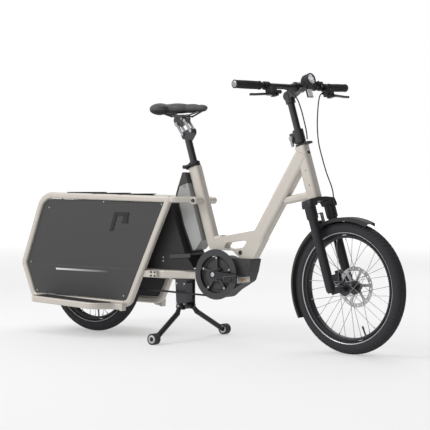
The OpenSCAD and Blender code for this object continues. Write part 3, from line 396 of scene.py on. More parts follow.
def add_turned(bm, outline, at=WORLD, steps=48, closed=True, axis=(0, 1, 0)):
    """Spins an outline of (radius, place along the axis) points round the y axis of `at`."""
    verts = [bm.verts.new((radius, along, 0)) for radius, along in outline]
    pairs = list(zip(verts, verts[1:] + (verts[:1] if closed else [])))
    edges = [bm.edges.new(pair) for pair in pairs]
    spun = bmesh.ops.spin(bm, geom=verts + edges, cent=(0, 0, 0), axis=axis, dvec=(0, 0, 0),
                          angle=FULL_TURN, steps=steps, use_merge=True, use_duplicate=False)
    island, fresh = set(verts), list(verts)
    while fresh:
        for edge in fresh.pop().link_edges:
            for v in edge.verts:
                if v not in island:
                    island.add(v)
                    fresh.append(v)
    bmesh.ops.transform(bm, matrix=at, verts=list(island))
    return spun


def add_dome(bm, radius, height, at, steps=28, rings=7):
    """Shallow closed dome standing on the xy plane of `at`, with y as its axis."""
    arc = [(radius * math.cos(k * math.pi / 2 / rings), height * math.sin(k * math.pi / 2 / rings))
           for k in range(rings)]
    return add_turned(bm, [(0, 0)] + arc + [(0, height)], at, steps, closed=False)


def along_y(at, point, toward):
    """Frame at a point of `at` whose y axis runs along `toward` there."""
    origin = at @ Vector(point)
    y = (at.to_3x3() @ Vector(toward)).normalized()
    x = y.orthogonal().normalized()
    return place(x, y, x.cross(y), origin)


def add_screw(bm, point, toward, radius, at=WORLD, height=None):
    """Low screw head with a round socket, standing on `point` and looking along `toward`."""
    height = height or radius * 0.5
    deep = radius * 0.45
    own = along_y(at, point, toward)
    rim = [(0, 0), (radius, 0), (radius, height * 0.7), (radius * 0.86, height),
           (deep, height), (deep, height * 0.35), (0, height * 0.35)]
    return add_turned(bm, rim, own, 18, closed=False)


def add_plate(bm, outline, low, high, at=WORLD):
    """Plate of an outline in the xz plane of `at`, from low to high along its y axis."""
    face = bm.faces.new([bm.verts.new((x, low, z)) for x, z in outline])
    grown = bmesh.ops.extrude_face_region(bm, geom=[face], use_keep_orig=True)["geom"]
    top = [g for g in grown if isinstance(g, bmesh.types.BMVert)]
    bmesh.ops.translate(bm, vec=(0, high - low, 0), verts=top)
    bmesh.ops.transform(bm, matrix=at, verts=list(face.verts) + top)
    return face


def add_tube(bm, path, radius, sides=12):
    """Closed round tube along a path of points."""
    previous = None
    for k, point in enumerate(path):
        ahead = path[min(k + 1, len(path) - 1)]
        behind = path[max(k - 1, 0)]
        own = aim(behind, ahead)
        own.translation = point
        if previous is not None:
            side = previous.to_3x3().col[0]
            z = own.to_3x3().col[2].normalized()
            x = (side - z * side.dot(z)).normalized()
            own = place(x, z.cross(x), z, point)
        ring = bmesh.ops.create_circle(bm, cap_ends=k in (0, len(path) - 1), segments=sides,
                                       radius=radius, matrix=own)["verts"]
        edges = list({e for v in ring for e in v.link_edges})
        if previous is not None:
            bmesh.ops.bridge_loops(bm, edges=last_edges + edges)
        previous, last_edges = own, edges


def smooth_path(points, steps):
    """Curve through the points, as many steps between each two."""
    points = [Vector(p) for p in points]
    path = []
    for i in range(len(points) - 1):
        a, b = points[max(i - 1, 0)], points[i]
        c, d = points[i + 1], points[min(i + 2, len(points) - 1)]
        for k in range(steps):
            t = k / steps
            path.append(0.5 * (2 * b + (c - a) * t + (2 * a - 5 * b + 4 * c - d) * t ** 2
                               + (3 * b - 3 * c + d - a) * t ** 3))
    return path + [points[-1]]


def cut_copy(node, cuts, swell):
    """Copy of a node's mesh, cut by planes of (point, direction kept) and swollen a little."""
    bm = bmesh.new()
    bm.from_mesh(frame["nodes"][node].data)
    bmesh.ops.remove_doubles(bm, verts=bm.verts, dist=0.01 * MM)
    bmesh.ops.dissolve_limit(bm, angle_limit=math.radians(0.5), verts=bm.verts, edges=bm.edges)
    for point, keep in cuts:
        geom = bm.verts[:] + bm.edges[:] + bm.faces[:]
        cut = bmesh.ops.bisect_plane(bm, geom=geom, plane_co=point, plane_no=keep, clear_inner=True)
        rim = [g for g in cut["geom_cut"] if isinstance(g, bmesh.types.BMEdge)]
        bmesh.ops.holes_fill(bm, edges=rim, sides=0)
    bmesh.ops.recalc_face_normals(bm, faces=bm.faces)
    bm.normal_update()
    for vert, normal in [(v, v.normal.copy()) for v in bm.verts]:
        vert.co += normal * swell * vert.calc_shell_factor()
    return bm


def piece(name, bm, material, body=None, bevel=0.0, sharp=32):
    """Finishes a bmesh as an object with its place in its mesh, smooth apart from sharp edges."""
    bmesh.ops.remove_doubles(bm, verts=bm.verts, dist=0.005 * MM)
    bmesh.ops.recalc_face_normals(bm, faces=bm.faces)
    for face in bm.faces:
        face.smooth = True
    for edge in bm.edges:
        edge.smooth = len(edge.link_faces) == 2 and edge.calc_face_angle(0) < math.radians(sharp)
    mesh = bpy.data.meshes.new(name)
    bm.to_mesh(mesh)
    bm.free()
    made = bpy.data.objects.new(name, mesh)
    bpy.context.scene.collection.objects.link(made)
    mesh.materials.append(finish(material))
    if bevel:
        edge_round = made.modifiers.new("edge_round", "BEVEL")
        edge_round.width = bevel
        edge_round.segments = 2
        edge_round.limit_method = "ANGLE"
        edge_round.angle_limit = math.radians(40)
    if body:
        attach(made, body)
    return made


# ---------------------------------------------------------------- operators
class CargoBikeOperator:
    """What all the operators share."""

    bl_options = {"REGISTER", "UNDO"}

    def execute(self, context):
        self.make(context)
        return {"FINISHED"}


class CARGO_OT_finishes(CargoBikeOperator, bpy.types.Operator):
    """Gives every node of the exact model its finish"""

    bl_idname = "cargo_bike.finishes"
    bl_label = "Finishes"

    def make(self, context):
        for subpart in frame["record"]["subparts"]:
            node = frame["nodes"][subpart["node"]]
            wanted = finish(subpart["material_slot"])
            for slot in node.material_slots:
                slot.material = wanted
            if not node.material_slots:
                node.data.materials.append(wanted)


# ---------------------------------------------------------------- wheels
TUBE_MID = 0.230
CASING = 0.0264
BEAD_ANGLE = math.radians(150)
RIM_INNER = 0.1945
SPOKES = 32
TREAD_ROWS = ((7, 6, 0.0), (26, 8, 0.5), (50, 9, 0.25))
WHEELS = {"front": FRONT_WHEEL, "rear": REAR_WHEEL}


def section_arc(radius, start, end, steps):
    """Arc of a tyre's section, as (distance from the axle, place along it) points."""
    angles = [start + (end - start) * k / steps for k in range(steps + 1)]
    return [(TUBE_MID + radius * math.cos(a), radius * math.sin(a)) for a in angles]


class CARGO_OT_tyres(CargoBikeOperator, bpy.types.Operator):
    """Makes both tyres, each a casing with rows of tread blocks"""

    bl_idname = "cargo_bike.tyres"
    bl_label = "Tyres"

    def make(self, context):
        pitch, depth, wall = sizes().tread_pitch, sizes().tread_depth, sizes().tyre_wall
        count = round(FULL_TURN * (TUBE_MID + CASING) / pitch)
        for name, wheel in WHEELS.items():
            bm = bmesh.new()
            add_turned(bm, section_arc(CASING, -BEAD_ANGLE, BEAD_ANGLE, 30)
                       + section_arc(CASING - wall, BEAD_ANGLE, -BEAD_ANGLE, 20), wheel, 144)
            for k in range(count):
                for across, width, shift in TREAD_ROWS:
                    for side in (-1, 1):
                        turn = FULL_TURN * (k + shift + (0.5 if side > 0 else 0)) / count
                        block = (wheel @ Matrix.Rotation(turn, 4, "Y")
                                 @ Matrix.Translation((TUBE_MID, 0, 0))
                                 @ Matrix.Rotation(math.radians(side * across), 4, "Z")
                                 @ Matrix.Translation((CASING, 0, 0)))
                        add_block(bm, (-0.6 * MM, -width / 2 * MM, -pitch * 0.36),
                                  (depth, width / 2 * MM, pitch * 0.36), block)
            tyre_piece = piece(f"{name}_treaded_tyre", bm, "tyre", f"{name}_wheel", sharp=38)
            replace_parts(tyre_piece, f"{name}_tyre")


class CARGO_OT_reflex_bands(CargoBikeOperator, bpy.types.Operator):
    """Makes the thin reflective band on each side of both tyres"""

    bl_idname = "cargo_bike.reflex_bands"
    bl_label = "Reflective bands"

    def make(self, context):
        start = math.radians(119)
        end = start + sizes().reflex_width / CASING
        for name, wheel in WHEELS.items():
            bm = bmesh.new()
            for side in (-1, 1):
                add_turned(bm, section_arc(CASING + 0.3 * MM, side * start, side * end, 3)
                           + section_arc(CASING - 0.5 * MM, side * end, side * start, 3), wheel, 144)
            piece(f"{name}_reflex_bands", bm, "reflective_strip", f"{name}_wheel")


class CARGO_OT_wheel_details(CargoBikeOperator, bpy.types.Operator):
    """Makes the spoke nipples, the valves and the axle nuts"""

    bl_idname = "cargo_bike.wheel_details"
    bl_label = "Nipples, valves and nuts"

    def make(self, context):
        for name, wheel in WHEELS.items():
            bm = bmesh.new()
            for k in range(SPOKES):
                angle = FULL_TURN * k / SPOKES
                side = 1 if k % 2 else -1
                out = Vector((math.cos(angle), 0, math.sin(angle)))
                base = Vector((0, side * 4 * MM, 0))
                add_rod(bm, base + out * (RIM_INNER + 2 * MM), base + out * (RIM_INNER - 9 * MM),
                        2.1 * MM, 1.6 * MM, 8, wheel)
            piece(f"{name}_nipples", bm, "steel", f"{name}_wheel")
            bm = bmesh.new()
            out = Vector((math.cos(4.81), 0, math.sin(4.81)))
            add_rod(bm, out * (RIM_INNER + 1 * MM), out * (RIM_INNER - 26 * MM), 3.2 * MM, 3.0 * MM, 14, wheel)
            add_rod(bm, out * (RIM_INNER - 25 * MM), out * (RIM_INNER - 38 * MM), 4.0 * MM, 3.4 * MM, 14, wheel)
            piece(f"{name}_valve", bm, "black_plastic", f"{name}_wheel")
        bm = bmesh.new()
        for side in (-1, 1):
            add_rod(bm, (0, side * 0.0842, 0), (0, side * 0.0855, 0), 11.5 * MM, None, 28, REAR_WHEEL)
            add_rod(bm, (0, side * 0.0855, 0), (0, side * 0.0925, 0), 9.6 * MM, None, 6, REAR_WHEEL)
        piece("rear_axle_nuts", bm, "steel", "frame", bevel=0.4 * MM)
        bm = bmesh.new()
        for side in (-1, 1):
            add_screw(bm, (0, side * 0.064, 0), (0, side, 0), 10 * MM, FRONT_WHEEL, 3 * MM)
        piece("front_axle_caps", bm, "black_paint", "fork_lower")


# ---------------------------------------------------------------- handlebar
BAR_INNER = Vector((0.056, 0.052, 0.444))
BAR_END = Vector((0.028, 0.346, 0.459))
GRIP_START = 0.216
LAMP = Vector((0.084, 0, 0.454))


def bar_point(side, out):
    """Point of the bar's axis at that distance from the middle, in the steering frame."""
    share = (out - BAR_INNER.y) / (BAR_END.y - BAR_INNER.y)
    point = BAR_INNER.lerp(BAR_END, share)
    return Vector((point.x, side * point.y, point.z))


def bar_place(side, out):
    """Frame on the bar: x forward, y outwards along the bar for the left half, z up."""
    y = (bar_point(side, 0.3) - bar_point(side, 0.1)).normalized() * side
    x = (Vector((1, 0, 0)) - y * y.x).normalized()
    return STEERING @ place(x, y, x.cross(y), bar_point(side, out))


class CARGO_OT_grips(CargoBikeOperator, bpy.types.Operator):
    """Makes both ribbed grips with their end caps"""

    bl_idname = "cargo_bike.grips"
    bl_label = "Grips"

    def make(self, context):
        rib = sizes().grip_rib
        long = (bar_point(1, BAR_END.y) - bar_point(1, GRIP_START)).length
        outline = [(0.0112, 0), (0.0172, 0), (0.0174, 2 * MM), (0.0168, 4.5 * MM), (0.0152, 5 * MM)]
        ribs = int((long - 0.016) / rib)
        for k in range(ribs):
            at = 0.006 + k * rib
            swell = 0.5 * MM * math.sin(math.pi * k / ribs)
            outline += [(0.0151 + swell, at), (0.0158 + swell, at + rib * 0.2),
                        (0.0158 + swell, at + rib * 0.62), (0.0151 + swell, at + rib * 0.82)]
        outline += [(0.0152, long - 0.006), (0.0166, long - 0.005), (0.0166, long - 1 * MM),
                    (0.0158, long), (0.0112, long)]
        caps = bmesh.new()
        for name, side in SIDES.items():
            outward = bar_point(side, 0.3) - bar_point(side, 0.1)
            bm = bmesh.new()
            add_turned(bm, outline, along_y(STEERING, bar_point(side, GRIP_START), outward), 40)
            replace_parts(piece(f"{name}_grip", bm, "grip_rubber", "bars"), "grips")
            add_dome(caps, 13.5 * MM, 3 * MM,
                     along_y(STEERING, bar_point(side, BAR_END.y - 0.2 * MM), outward))
        piece("grip_end_caps", caps, "grey_alloy", "bars")


class CARGO_OT_headlight(CargoBikeOperator, bpy.types.Operator):
    """Makes the headlight with its bowl, lens and the square reflector below it"""

    bl_idname = "cargo_bike.headlight"
    bl_label = "Headlight"

    def make(self, context):
        front = along_y(STEERING, LAMP, (1, 0, 0))
        bm = bmesh.new()
        add_turned(bm, [(0, 0), (0.012, 0), (0.0160, 1 * MM), (0.0236, 0.012), (0.0243, 0.015),
                        (0.0243, 0.0235), (0.0236, 0.0240), (0.0236, 0.0252), (0.0243, 0.0257),
                        (0.0243, 0.044), (0.0234, 0.0466), (0.0216, 0.0466), (0.0210, 0.042),
                        (0.017, 0.034), (0.010, 0.027), (0, 0.025)], front, 56, closed=False)
        add_block(bm, (0.0775, -0.008, 0.4365), (0.115, 0.008, 0.446), STEERING, 1 * MM)
        add_block(bm, (0.092, -0.005, 0.404), (0.0985, 0.005, 0.437), STEERING, 1 * MM)
        add_block(bm, (0.098, -0.0172, 0.3858), (0.1045, 0.0172, 0.4202), STEERING, 1.4 * MM)
        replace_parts(piece("headlight_housing", bm, "black_plastic", "bars"), "headlight")
        bm = bmesh.new()
        add_turned(bm, [(0, 0.0252), (0.0100, 0.0272), (0.0170, 0.0342), (0.0209, 0.0415),
                        (0.0202, 0.0418), (0.0164, 0.0349), (0.0096, 0.0280), (0, 0.0260)],
                   front, 56, closed=False)
        piece("headlight_bowl", bm, "mirror_bowl", "bars")
        bm = bmesh.new()
        add_turned(bm, [(0, 0.0425), (0.0209, 0.0425), (0.0209, 0.0438), (0.013, 0.0452), (0, 0.0457)],
                   front, 56, closed=False)
        piece("headlight_lens", bm, "clear_lens", "bars")
        bm = bmesh.new()
        add_block(bm, (0.1035, -0.0150, 0.3880), (0.1064, 0.0150, 0.4180), STEERING, 0.8 * MM)
        piece("bar_reflector", bm, "clear_reflector", "bars")


class CARGO_OT_bar_fittings(CargoBikeOperator, bpy.types.Operator):
    """Makes the bell, the control unit and the screws of the stem and levers"""

    bl_idname = "cargo_bike.bar_fittings"
    bl_label = "Bell, control unit and screws"

    def make(self, context):
        bell, unit = bar_place(1, 0.104), bar_place(1, 0.142)
        band = [(0.0112, -4 * MM), (0.0134, -4 * MM), (0.0134, 4 * MM), (0.0112, 4 * MM)]
        bm = bmesh.new()
        add_turned(bm, band, bell, 32)
        add_block(bm, (-0.005, -0.004, 0.011), (0.009, 0.004, 0.018), bell, 0.8 * MM)
        add_rod(bm, (0.002, 0, 0.015), (0.002, 0, 0.0185), 0.0125, None, 28, bell)
        add_rod(bm, (0.014, 0.006, 0.018), (0.026, 0.010, 0.019), 1.8 * MM, 2.6 * MM, 12, bell)
        piece("bell_base", bm, "black_plastic", "bars", bevel=0.3 * MM)
        bm = bmesh.new()
        add_dome(bm, sizes().bell_radius, 0.012, along_y(bell, (0.002, 0, 0.0185), (0, 0, 1)), 36, 9)
        piece("bell_dome", bm, "black_paint", "bars")
        bm = bmesh.new()
        add_turned(bm, band, unit, 32)
        add_block(bm, (-0.017, -0.017, 0.0095), (0.017, 0.017, 0.0215), unit, 3 * MM)
        piece("control_unit", bm, "black_plastic", "bars")
        bm = bmesh.new()
        for y in (-0.009, 0.0, 0.009):
            add_dome(bm, 3.4 * MM, 1.2 * MM, along_y(unit, (0.004, y, 0.0214), (0, 0, 1)), 20, 4)
        piece("control_buttons", bm, "grip_rubber", "bars")
        bm = bmesh.new()
        for side in (-1, 1):
            add_screw(bm, (0.070, side * 0.176, 0.399), (0, 0, -1), 4 * MM, STEERING)
            for w in (0.433, 0.455):
                add_screw(bm, (0.0765, side * 0.014, w), (1, 0, 0), 3.4 * MM, STEERING)
            add_screw(bm, (-0.030, side * (0.0206 if side < 0 else 0.0246), 0.258), (0, side, 0), 4 * MM, STEERING)
        piece("bar_screws", bm, "steel", "bars")


# ---------------------------------------------------------------- brake hoses
RIGHT_ROUTE = ((445.4, -170.5, 1025.1), (451, -160, 1028.5), (461, -147, 1030), (475, -131, 1027),
               (489, -108, 1016), (499, -82, 990), (505, -62, 950), (509, -46, 905), (510, -30, 865),
               (506, -18, 836))
LEFT_ROUTE = ((490.8, 123, 1026.2), (489.5, 113, 1023.5), (487.5, 106, 1016), (485, 103.5, 1004),
              (480, 105, 980), (476, 108, 950), (475, 107, 914), (482, 98, 870), (496, 86, 820),
              (516, 80, 764), (538, 78, 704), (558, 84, 650), (562, 92, 612), (557, 94, 576),
              (555, 92, 536), (560, 88, 490), (572, 82, 440), (588, 74, 396), (600, 66, 372))
HOSE_SPLIT = 10  # point of LEFT_ROUTE at the crown, where the lower run starts
SMOOTHING = 6


class CARGO_OT_hoses(CargoBikeOperator, bpy.types.Operator):
    """Makes the two brake hoses along fixed routes and their boots"""

    bl_idname = "cargo_bike.hoses"
    bl_label = "Brake hoses"

    def make(self, context):
        right = [Vector(p) * MM for p in RIGHT_ROUTE]
        left = [Vector(p) * MM for p in LEFT_ROUTE]
        smooth_left = smooth_path(left, SMOOTHING)
        cut = HOSE_SPLIT * SMOOTHING
        runs = (
            ("right_brake_hose", smooth_path(right, SMOOTHING), "bars", "steering", right[0], right[-1], "right_hose"),
            ("left_brake_hose_upper", smooth_left[:cut + 1], "bars", "steering", left[0],
             left[HOSE_SPLIT - 1], "left_hose"),
            ("left_brake_hose_lower", smooth_left[cut:], "steering", "fork_lower", left[HOSE_SPLIT + 1], left[-3],
             "left_hose"))
        for name, path, first, second, start, end, node in runs:
            bm = bmesh.new()
            add_tube(bm, path, sizes().hose_radius, 14)
            hose = piece(name, bm, "hose_rubber")
            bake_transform(hose)
            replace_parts(hose, node)
        bm = bmesh.new()
        for path in (right, left):
            add_rod(bm, path[0] - (path[1] - path[0]) * 0.3, path[0].lerp(path[1], 0.7), 4.2 * MM, 3.2 * MM, 18)
        piece("hose_boots", bm, "black_plastic", "bars")


# ---------------------------------------------------------------- battery and panels
class CARGO_OT_battery_trim(CargoBikeOperator, bpy.types.Operator):
    """Makes the battery's dark cap, its rear edge and its lock"""

    bl_idname = "cargo_bike.battery_trim"
    bl_label = "Battery trim"

    def make(self, context):
        low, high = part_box("battery")
        cap_foot = Vector((high.x - 0.09, 0, low.z + (high.z - low.z) * 0.85))
        bm = cut_copy("battery", [(cap_foot, (-0.32, 0, 0.95))], 0.9 * MM)
        piece("battery_cap", bm, "panel_plastic", "frame", bevel=0.8 * MM)
        half = high.y + 0.6 * MM
        bm = bmesh.new()
        add_plate(bm, [(-0.0475, 0.3735), (-0.0950, 0.4800), (-0.1332, 0.6115), (-0.1190, 0.6540),
                       (-0.1115, 0.6500), (-0.1245, 0.6110), (-0.0865, 0.4830), (-0.0400, 0.3800)],
                  -half, half)
        piece("battery_rear_edge", bm, "black_plastic", "frame", bevel=0.8 * MM)
        bm = bmesh.new()
        for y in (low.y, high.y):
            lock = along_y(WORLD, (-0.089, y, 0.648), (0, 1 if y > 0 else -1, 0))
            add_turned(bm, [(0, 1.2 * MM), (0.0045, 1.2 * MM), (0.0045, 2.2 * MM), (0.0068, 2.4 * MM),
                            (0.0075, 1.6 * MM), (0.0075, 0), (0, 0)], lock, 30, closed=False)
        piece("battery_locks", bm, "grey_alloy", "frame")


PANEL_SCREWS = ((-0.792, 0.548), (-0.150, 0.571), (-0.470, 0.578), (-0.903, 0.302), (-0.858, 0.176),
                (-0.352, 0.176))
SKIRT_SCREWS = ((-0.300, 0.331), (-0.300, 0.346), (-0.175, 0.331), (-0.175, 0.346))
# Dark L-shaped plate along the rear and top walls of the panel's handle recess: painted shadow of the recess walls,
# not a part of the panel.
RECESS_SHADOW_PLATE = ((-0.437, 0.452), (-0.420, 0.452), (-0.395, 0.520), (-0.330, 0.520), (-0.328, 0.534), (-0.410, 0.534))
CATCH = ((-0.372, 0.488), (-0.334, 0.488), (-0.334, 0.523))


class CARGO_OT_panel_trim(CargoBikeOperator, bpy.types.Operator):
    """Makes the stripes, the dark plates painted as the shadow in the handle recesses with their catches, and the
    screws of the side panels and skirts
    """

    bl_idname = "cargo_bike.panel_trim"
    bl_label = "Panel trim"

    def make(self, context):
        low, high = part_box("right_panel")
        screws = bmesh.new()
        for name, side in SIDES.items():
            face = side * 0.112
            skirt = side * 0.117
            bm = bmesh.new()
            inner, outer = sorted((skirt - side * 0.4 * MM, skirt + side * 0.3 * MM))
            add_block(bm, (low.x + STRIPE_START, inner, 0.2725), (low.x + STRIPE_END, outer, 0.2805))
            piece(f"{name}_panel_stripe", bm, "fading_stripe", "frame")
            bm = bmesh.new()
            inner, outer = sorted((side * 0.1065, side * 0.1135))
            # Black plate painted as the shadow inside the handle recess, then the catch in that recess.
            add_plate(bm, RECESS_SHADOW_PLATE, inner, outer)
            add_plate(bm, CATCH, inner, outer)
            piece(f"{name}_panel_recess_shadow_and_catch", bm, "black_plastic", "frame", bevel=0.6 * MM)
            for x, z in PANEL_SCREWS:
                add_screw(screws, (x, face if z > 0.294 else skirt, z), (0, side, 0), sizes().screw_radius)
            for x, z in SKIRT_SCREWS:
                add_screw(screws, (x, side * 0.067, z), (0, side, 0), sizes().screw_radius)
        piece("panel_screws", screws, "steel", "frame")


# ---------------------------------------------------------------- drive, pedals and stand
RING_RADIUS = 0.09104
SPROCKET_RADIUS = 0.04377
BELT_PITCH = 0.011
BELT_Y = -0.058


class CARGO_OT_belt_teeth(CargoBikeOperator, bpy.types.Operator):
    """Makes the teeth on the inside of the belt's two straight runs"""

    bl_idname = "cargo_bike.belt_teeth"
    bl_label = "Belt teeth"

    def make(self, context):
        ahead = SPINDLE.translation - REAR_WHEEL.translation
        ahead.y = 0
        span = ahead.length
        lean = math.asin((RING_RADIUS - SPROCKET_RADIUS) / span)
        bm = bmesh.new()
        for side in (-1, 1):
            angle = math.atan2(ahead.z, ahead.x) + side * (math.pi / 2 + lean)
            out = Vector((math.cos(angle), 0, math.sin(angle)))
            start = REAR_WHEEL.translation + out * SPROCKET_RADIUS
            end = SPINDLE.translation + out * RING_RADIUS
            run = end - start
            step = run.normalized()
            tooth = place(step, LEFT, step.cross(LEFT), start + Vector((0, BELT_Y, 0)) - out * 2.6 * MM)
            for k in range(1, int(run.length / BELT_PITCH)):
                along = k * BELT_PITCH
                add_block(bm, (along - 2.6 * MM, -5.5 * MM, -1.3 * MM), (along + 2.6 * MM, 5.5 * MM, 1.3 * MM),
                          tooth)
        piece("belt_teeth", bm, "belt_rubber", "frame", bevel=0.5 * MM)


class CARGO_OT_drive_details(CargoBikeOperator, bpy.types.Operator):
    """Makes the crank bolts, the ring bolts and the rings of the motor cover"""

    bl_idname = "cargo_bike.drive_details"
    bl_label = "Crank and motor details"

    def make(self, context):
        bm = bmesh.new()
        for side in (-1, 1):
            add_screw(bm, (0, side * 0.086, 0), (0, side, 0), 9 * MM, SPINDLE, 2.5 * MM)
        for k in range(5):
            angle = math.radians(18 + 72 * k)
            add_screw(bm, (0.068 * math.cos(angle), -0.061, 0.068 * math.sin(angle)), (0, -1, 0), 4.6 * MM, SPINDLE)
        piece("crank_bolts", bm, "steel", "cranks")
        bm = bmesh.new()
        for side in (-1, 1):
            face = side * 0.050
            for inner, outer, proud in ((0.062, 0.066, 0.6), (0.020, 0.034, 1.4)):
                lip = face + side * proud * MM
                add_turned(bm, [(inner, face - side * MM), (outer, face - side * MM), (outer, lip), (inner, lip)],
                           SPINDLE, 72)
        piece("motor_cover_rings", bm, "black_plastic", "frame")
        bm = bmesh.new()
        for side in (-1, 1):
            for x, z in ((0.233, 0.328), (0.052, 0.222), (0.040, 0.330), (0.192, 0.262)):
                add_screw(bm, (x, side * 0.038, z), (0, side, 0), sizes().screw_radius)
        piece("motor_cover_screws", bm, "dark_anodised", "frame")


class CARGO_OT_pedal_trim(CargoBikeOperator, bpy.types.Operator):
    """Makes the cages, reflectors and axle caps of both pedals"""

    bl_idname = "cargo_bike.pedal_trim"
    bl_label = "Pedal trim"

    def make(self, context):
        for name in SIDES:
            low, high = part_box(f"{name}_pedal")
            middle = joint_point(f"{name}_pedal_spin")
            inner, outer = sorted((low.y, high.y), key=abs)
            outward = 1 if outer > 0 else -1
            inner = outer - outward * 0.090
            body = f"{name}_pedal"
            cage, lamps = bmesh.new(), bmesh.new()
            y0, y1 = sorted((inner + outward * 2 * MM, outer - outward * 2 * MM))
            for end in (-1, 1):
                x = middle.x + end * 0.034
                near, far = sorted((x - end * 1 * MM, x + end * 2.2 * MM))
                add_block(cage, (near, y0, middle.z - 0.0100), (far, y1, middle.z + 0.0100), round_by=0.6 * MM)
                for k in range(9):
                    y = y0 + (y1 - y0) * (k + 0.5) / 9
                    for flip in (-1, 1):
                        z0, z1 = sorted((middle.z + flip * 0.0095, middle.z + flip * 0.0118))
                        add_block(cage, (near, y - 1.8 * MM, z0), (far, y + 1.8 * MM, z1))
                mid_y = (y0 + y1) / 2
                near, far = sorted((x + end * 2 * MM, x + end * 4.4 * MM))
                add_block(lamps, (near, mid_y - 0.017, middle.z - 0.005), (far, mid_y + 0.017, middle.z + 0.005),
                          round_by=0.8 * MM)
            piece(f"{name}_pedal_cage", cage, "steel", body)
            piece(f"{name}_pedal_reflectors", lamps, "amber_reflector", body)
            bm = bmesh.new()
            add_dome(bm, 9 * MM, 4 * MM, along_y(WORLD, (middle.x, outer, middle.z), (0, outward, 0)))
            piece(f"{name}_pedal_cap", bm, "black_plastic", body)


class CARGO_OT_stand_details(CargoBikeOperator, bpy.types.Operator):
    """Makes the bright caps of the stand's rollers and the bolts of its bracket"""

    bl_idname = "cargo_bike.stand_details"
    bl_label = "Stand details"

    def make(self, context):
        for name in SIDES:
            low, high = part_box(f"{name}_stand_wheel")
            middle = joint_point(f"{name}_roller_spin")
            bm = bmesh.new()
            for face, way in ((low.y, -1), (high.y, 1)):
                own = along_y(WORLD, (middle.x, face, middle.z), (0, way, 0))
                add_turned(bm, [(0.0095, -0.5 * MM), (0.0165, -0.5 * MM), (0.0165, 0.8 * MM), (0.0150, 1.4 * MM),
                                (0.0095, 1.4 * MM)], own, 40)
            piece(f"{name}_roller_rings", bm, "steel", f"{name}_roller")
        pivot = joint_point("stand_fold")
        bm = bmesh.new()
        for side in (-1, 1):
            for x, z in ((-0.129, 0.150), (-0.089, 0.150), (-0.129, 0.236), (-0.089, 0.236)):
                add_screw(bm, (x, side * 0.0325, z), (0, side, 0), 4.5 * MM)
        piece("stand_bracket_bolts", bm, "steel", "frame")
        bm = bmesh.new()
        for side in (-1, 1):
            add_screw(bm, (pivot.x, side * 0.052, pivot.z), (0, side, 0), 6.5 * MM)
        piece("stand_pivot_bolts", bm, "steel", "stand")


# ---------------------------------------------------------------- seatpost, fork and frame details
class CARGO_OT_seatpost_details(CargoBikeOperator, bpy.types.Operator):
    """Makes the pin heads of the sprung seatpost, its bumper and the clamp's screws"""

    bl_idname = "cargo_bike.seatpost_details"
    bl_label = "Seatpost details"

    def make(self, context):
        rise = joint_point("saddle_level") - joint_point("front_link_swing")
        face = 0.0173
        for name in ("front", "rear"):
            foot = joint_point(f"{name}_link_swing")
            bm = bmesh.new()
            for pin in (foot, foot + rise):
                for side in (-1, 1):
                    add_screw(bm, (pin.x, side * face, pin.z), (0, side, 0), 5.6 * MM)
            piece(f"{name}_link_screws", bm, "steel", f"{name}_link")
        top = joint_point("saddle_level")
        bm = bmesh.new()
        for side in (-1, 1):
            add_screw(bm, (top.x - 0.018, side * 0.012, top.z + 0.010), (0, side, 0), 6.5 * MM, height=4 * MM)
        for x in (-0.158, -0.104):
            add_rod(bm, (x, 0, 0.948), (x, 0, 0.952), 5 * MM, None, 6)
        piece("saddle_clamp_bolts", bm, "steel", "saddle_head")
        bm = bmesh.new()
        own = place(LEFT.cross(seat_up), LEFT, seat_up, Vector((-0.060, 0, 0.728)))
        add_turned(bm, [(0.0154, 0.0203), (0.0215, 0.0203), (0.0205, 0.0235), (0.0162, 0.0250), (0.0154, 0.0245)],
                   own @ Matrix.Rotation(math.pi / 2, 4, "X"), 44)
        piece("seatpost_seal", bm, "tread_rubber", "frame")


class CARGO_OT_fork_details(CargoBikeOperator, bpy.types.Operator):
    """Makes the fork's seals, the fender strap and the caliper bolts"""

    bl_idname = "cargo_bike.fork_details"
    bl_label = "Fork details"

    def make(self, context):
        bm = bmesh.new()
        for side in (-1, 1):
            own = along_y(STEERING, (0.014, side * 0.062, -0.0795), (0, 0, -1))
            add_turned(bm, [(0.0189, 0), (0.0225, 0), (0.0225, 3 * MM), (0.0212, 5 * MM), (0.0189, 5 * MM)], own, 40)
        piece("fork_seals", bm, "tread_rubber", "steering")
        bm = bmesh.new()
        add_block(bm, (0.012, -0.010, -0.104), (0.0145, 0.010, -0.060), STEERING, 0.8 * MM)
        add_block(bm, (0.012, -0.012, -0.1052), (0.034, 0.012, -0.1030), STEERING, 0.8 * MM)
        add_block(bm, (-0.020, -0.010, -0.0630), (0.0145, 0.010, -0.0605), STEERING, 0.8 * MM)
        add_block(bm, (-0.020, -0.010, -0.092), (-0.0175, 0.010, -0.0605), STEERING, 0.8 * MM)
        piece("fender_strap", bm, "grey_alloy", "fork_lower")
        bm = bmesh.new()
        add_screw(bm, (0.0146, 0, -0.072), (1, 0, 0), 4 * MM, STEERING)
        add_screw(bm, (0.0146, 0, -0.090), (1, 0, 0), 4 * MM, STEERING)
        for w in (-0.343, -0.300):
            add_screw(bm, (-0.0365, 0.060, w), (-1, 0, 0), 4 * MM, STEERING)
        piece("fork_bolts", bm, "steel", "fork_lower")


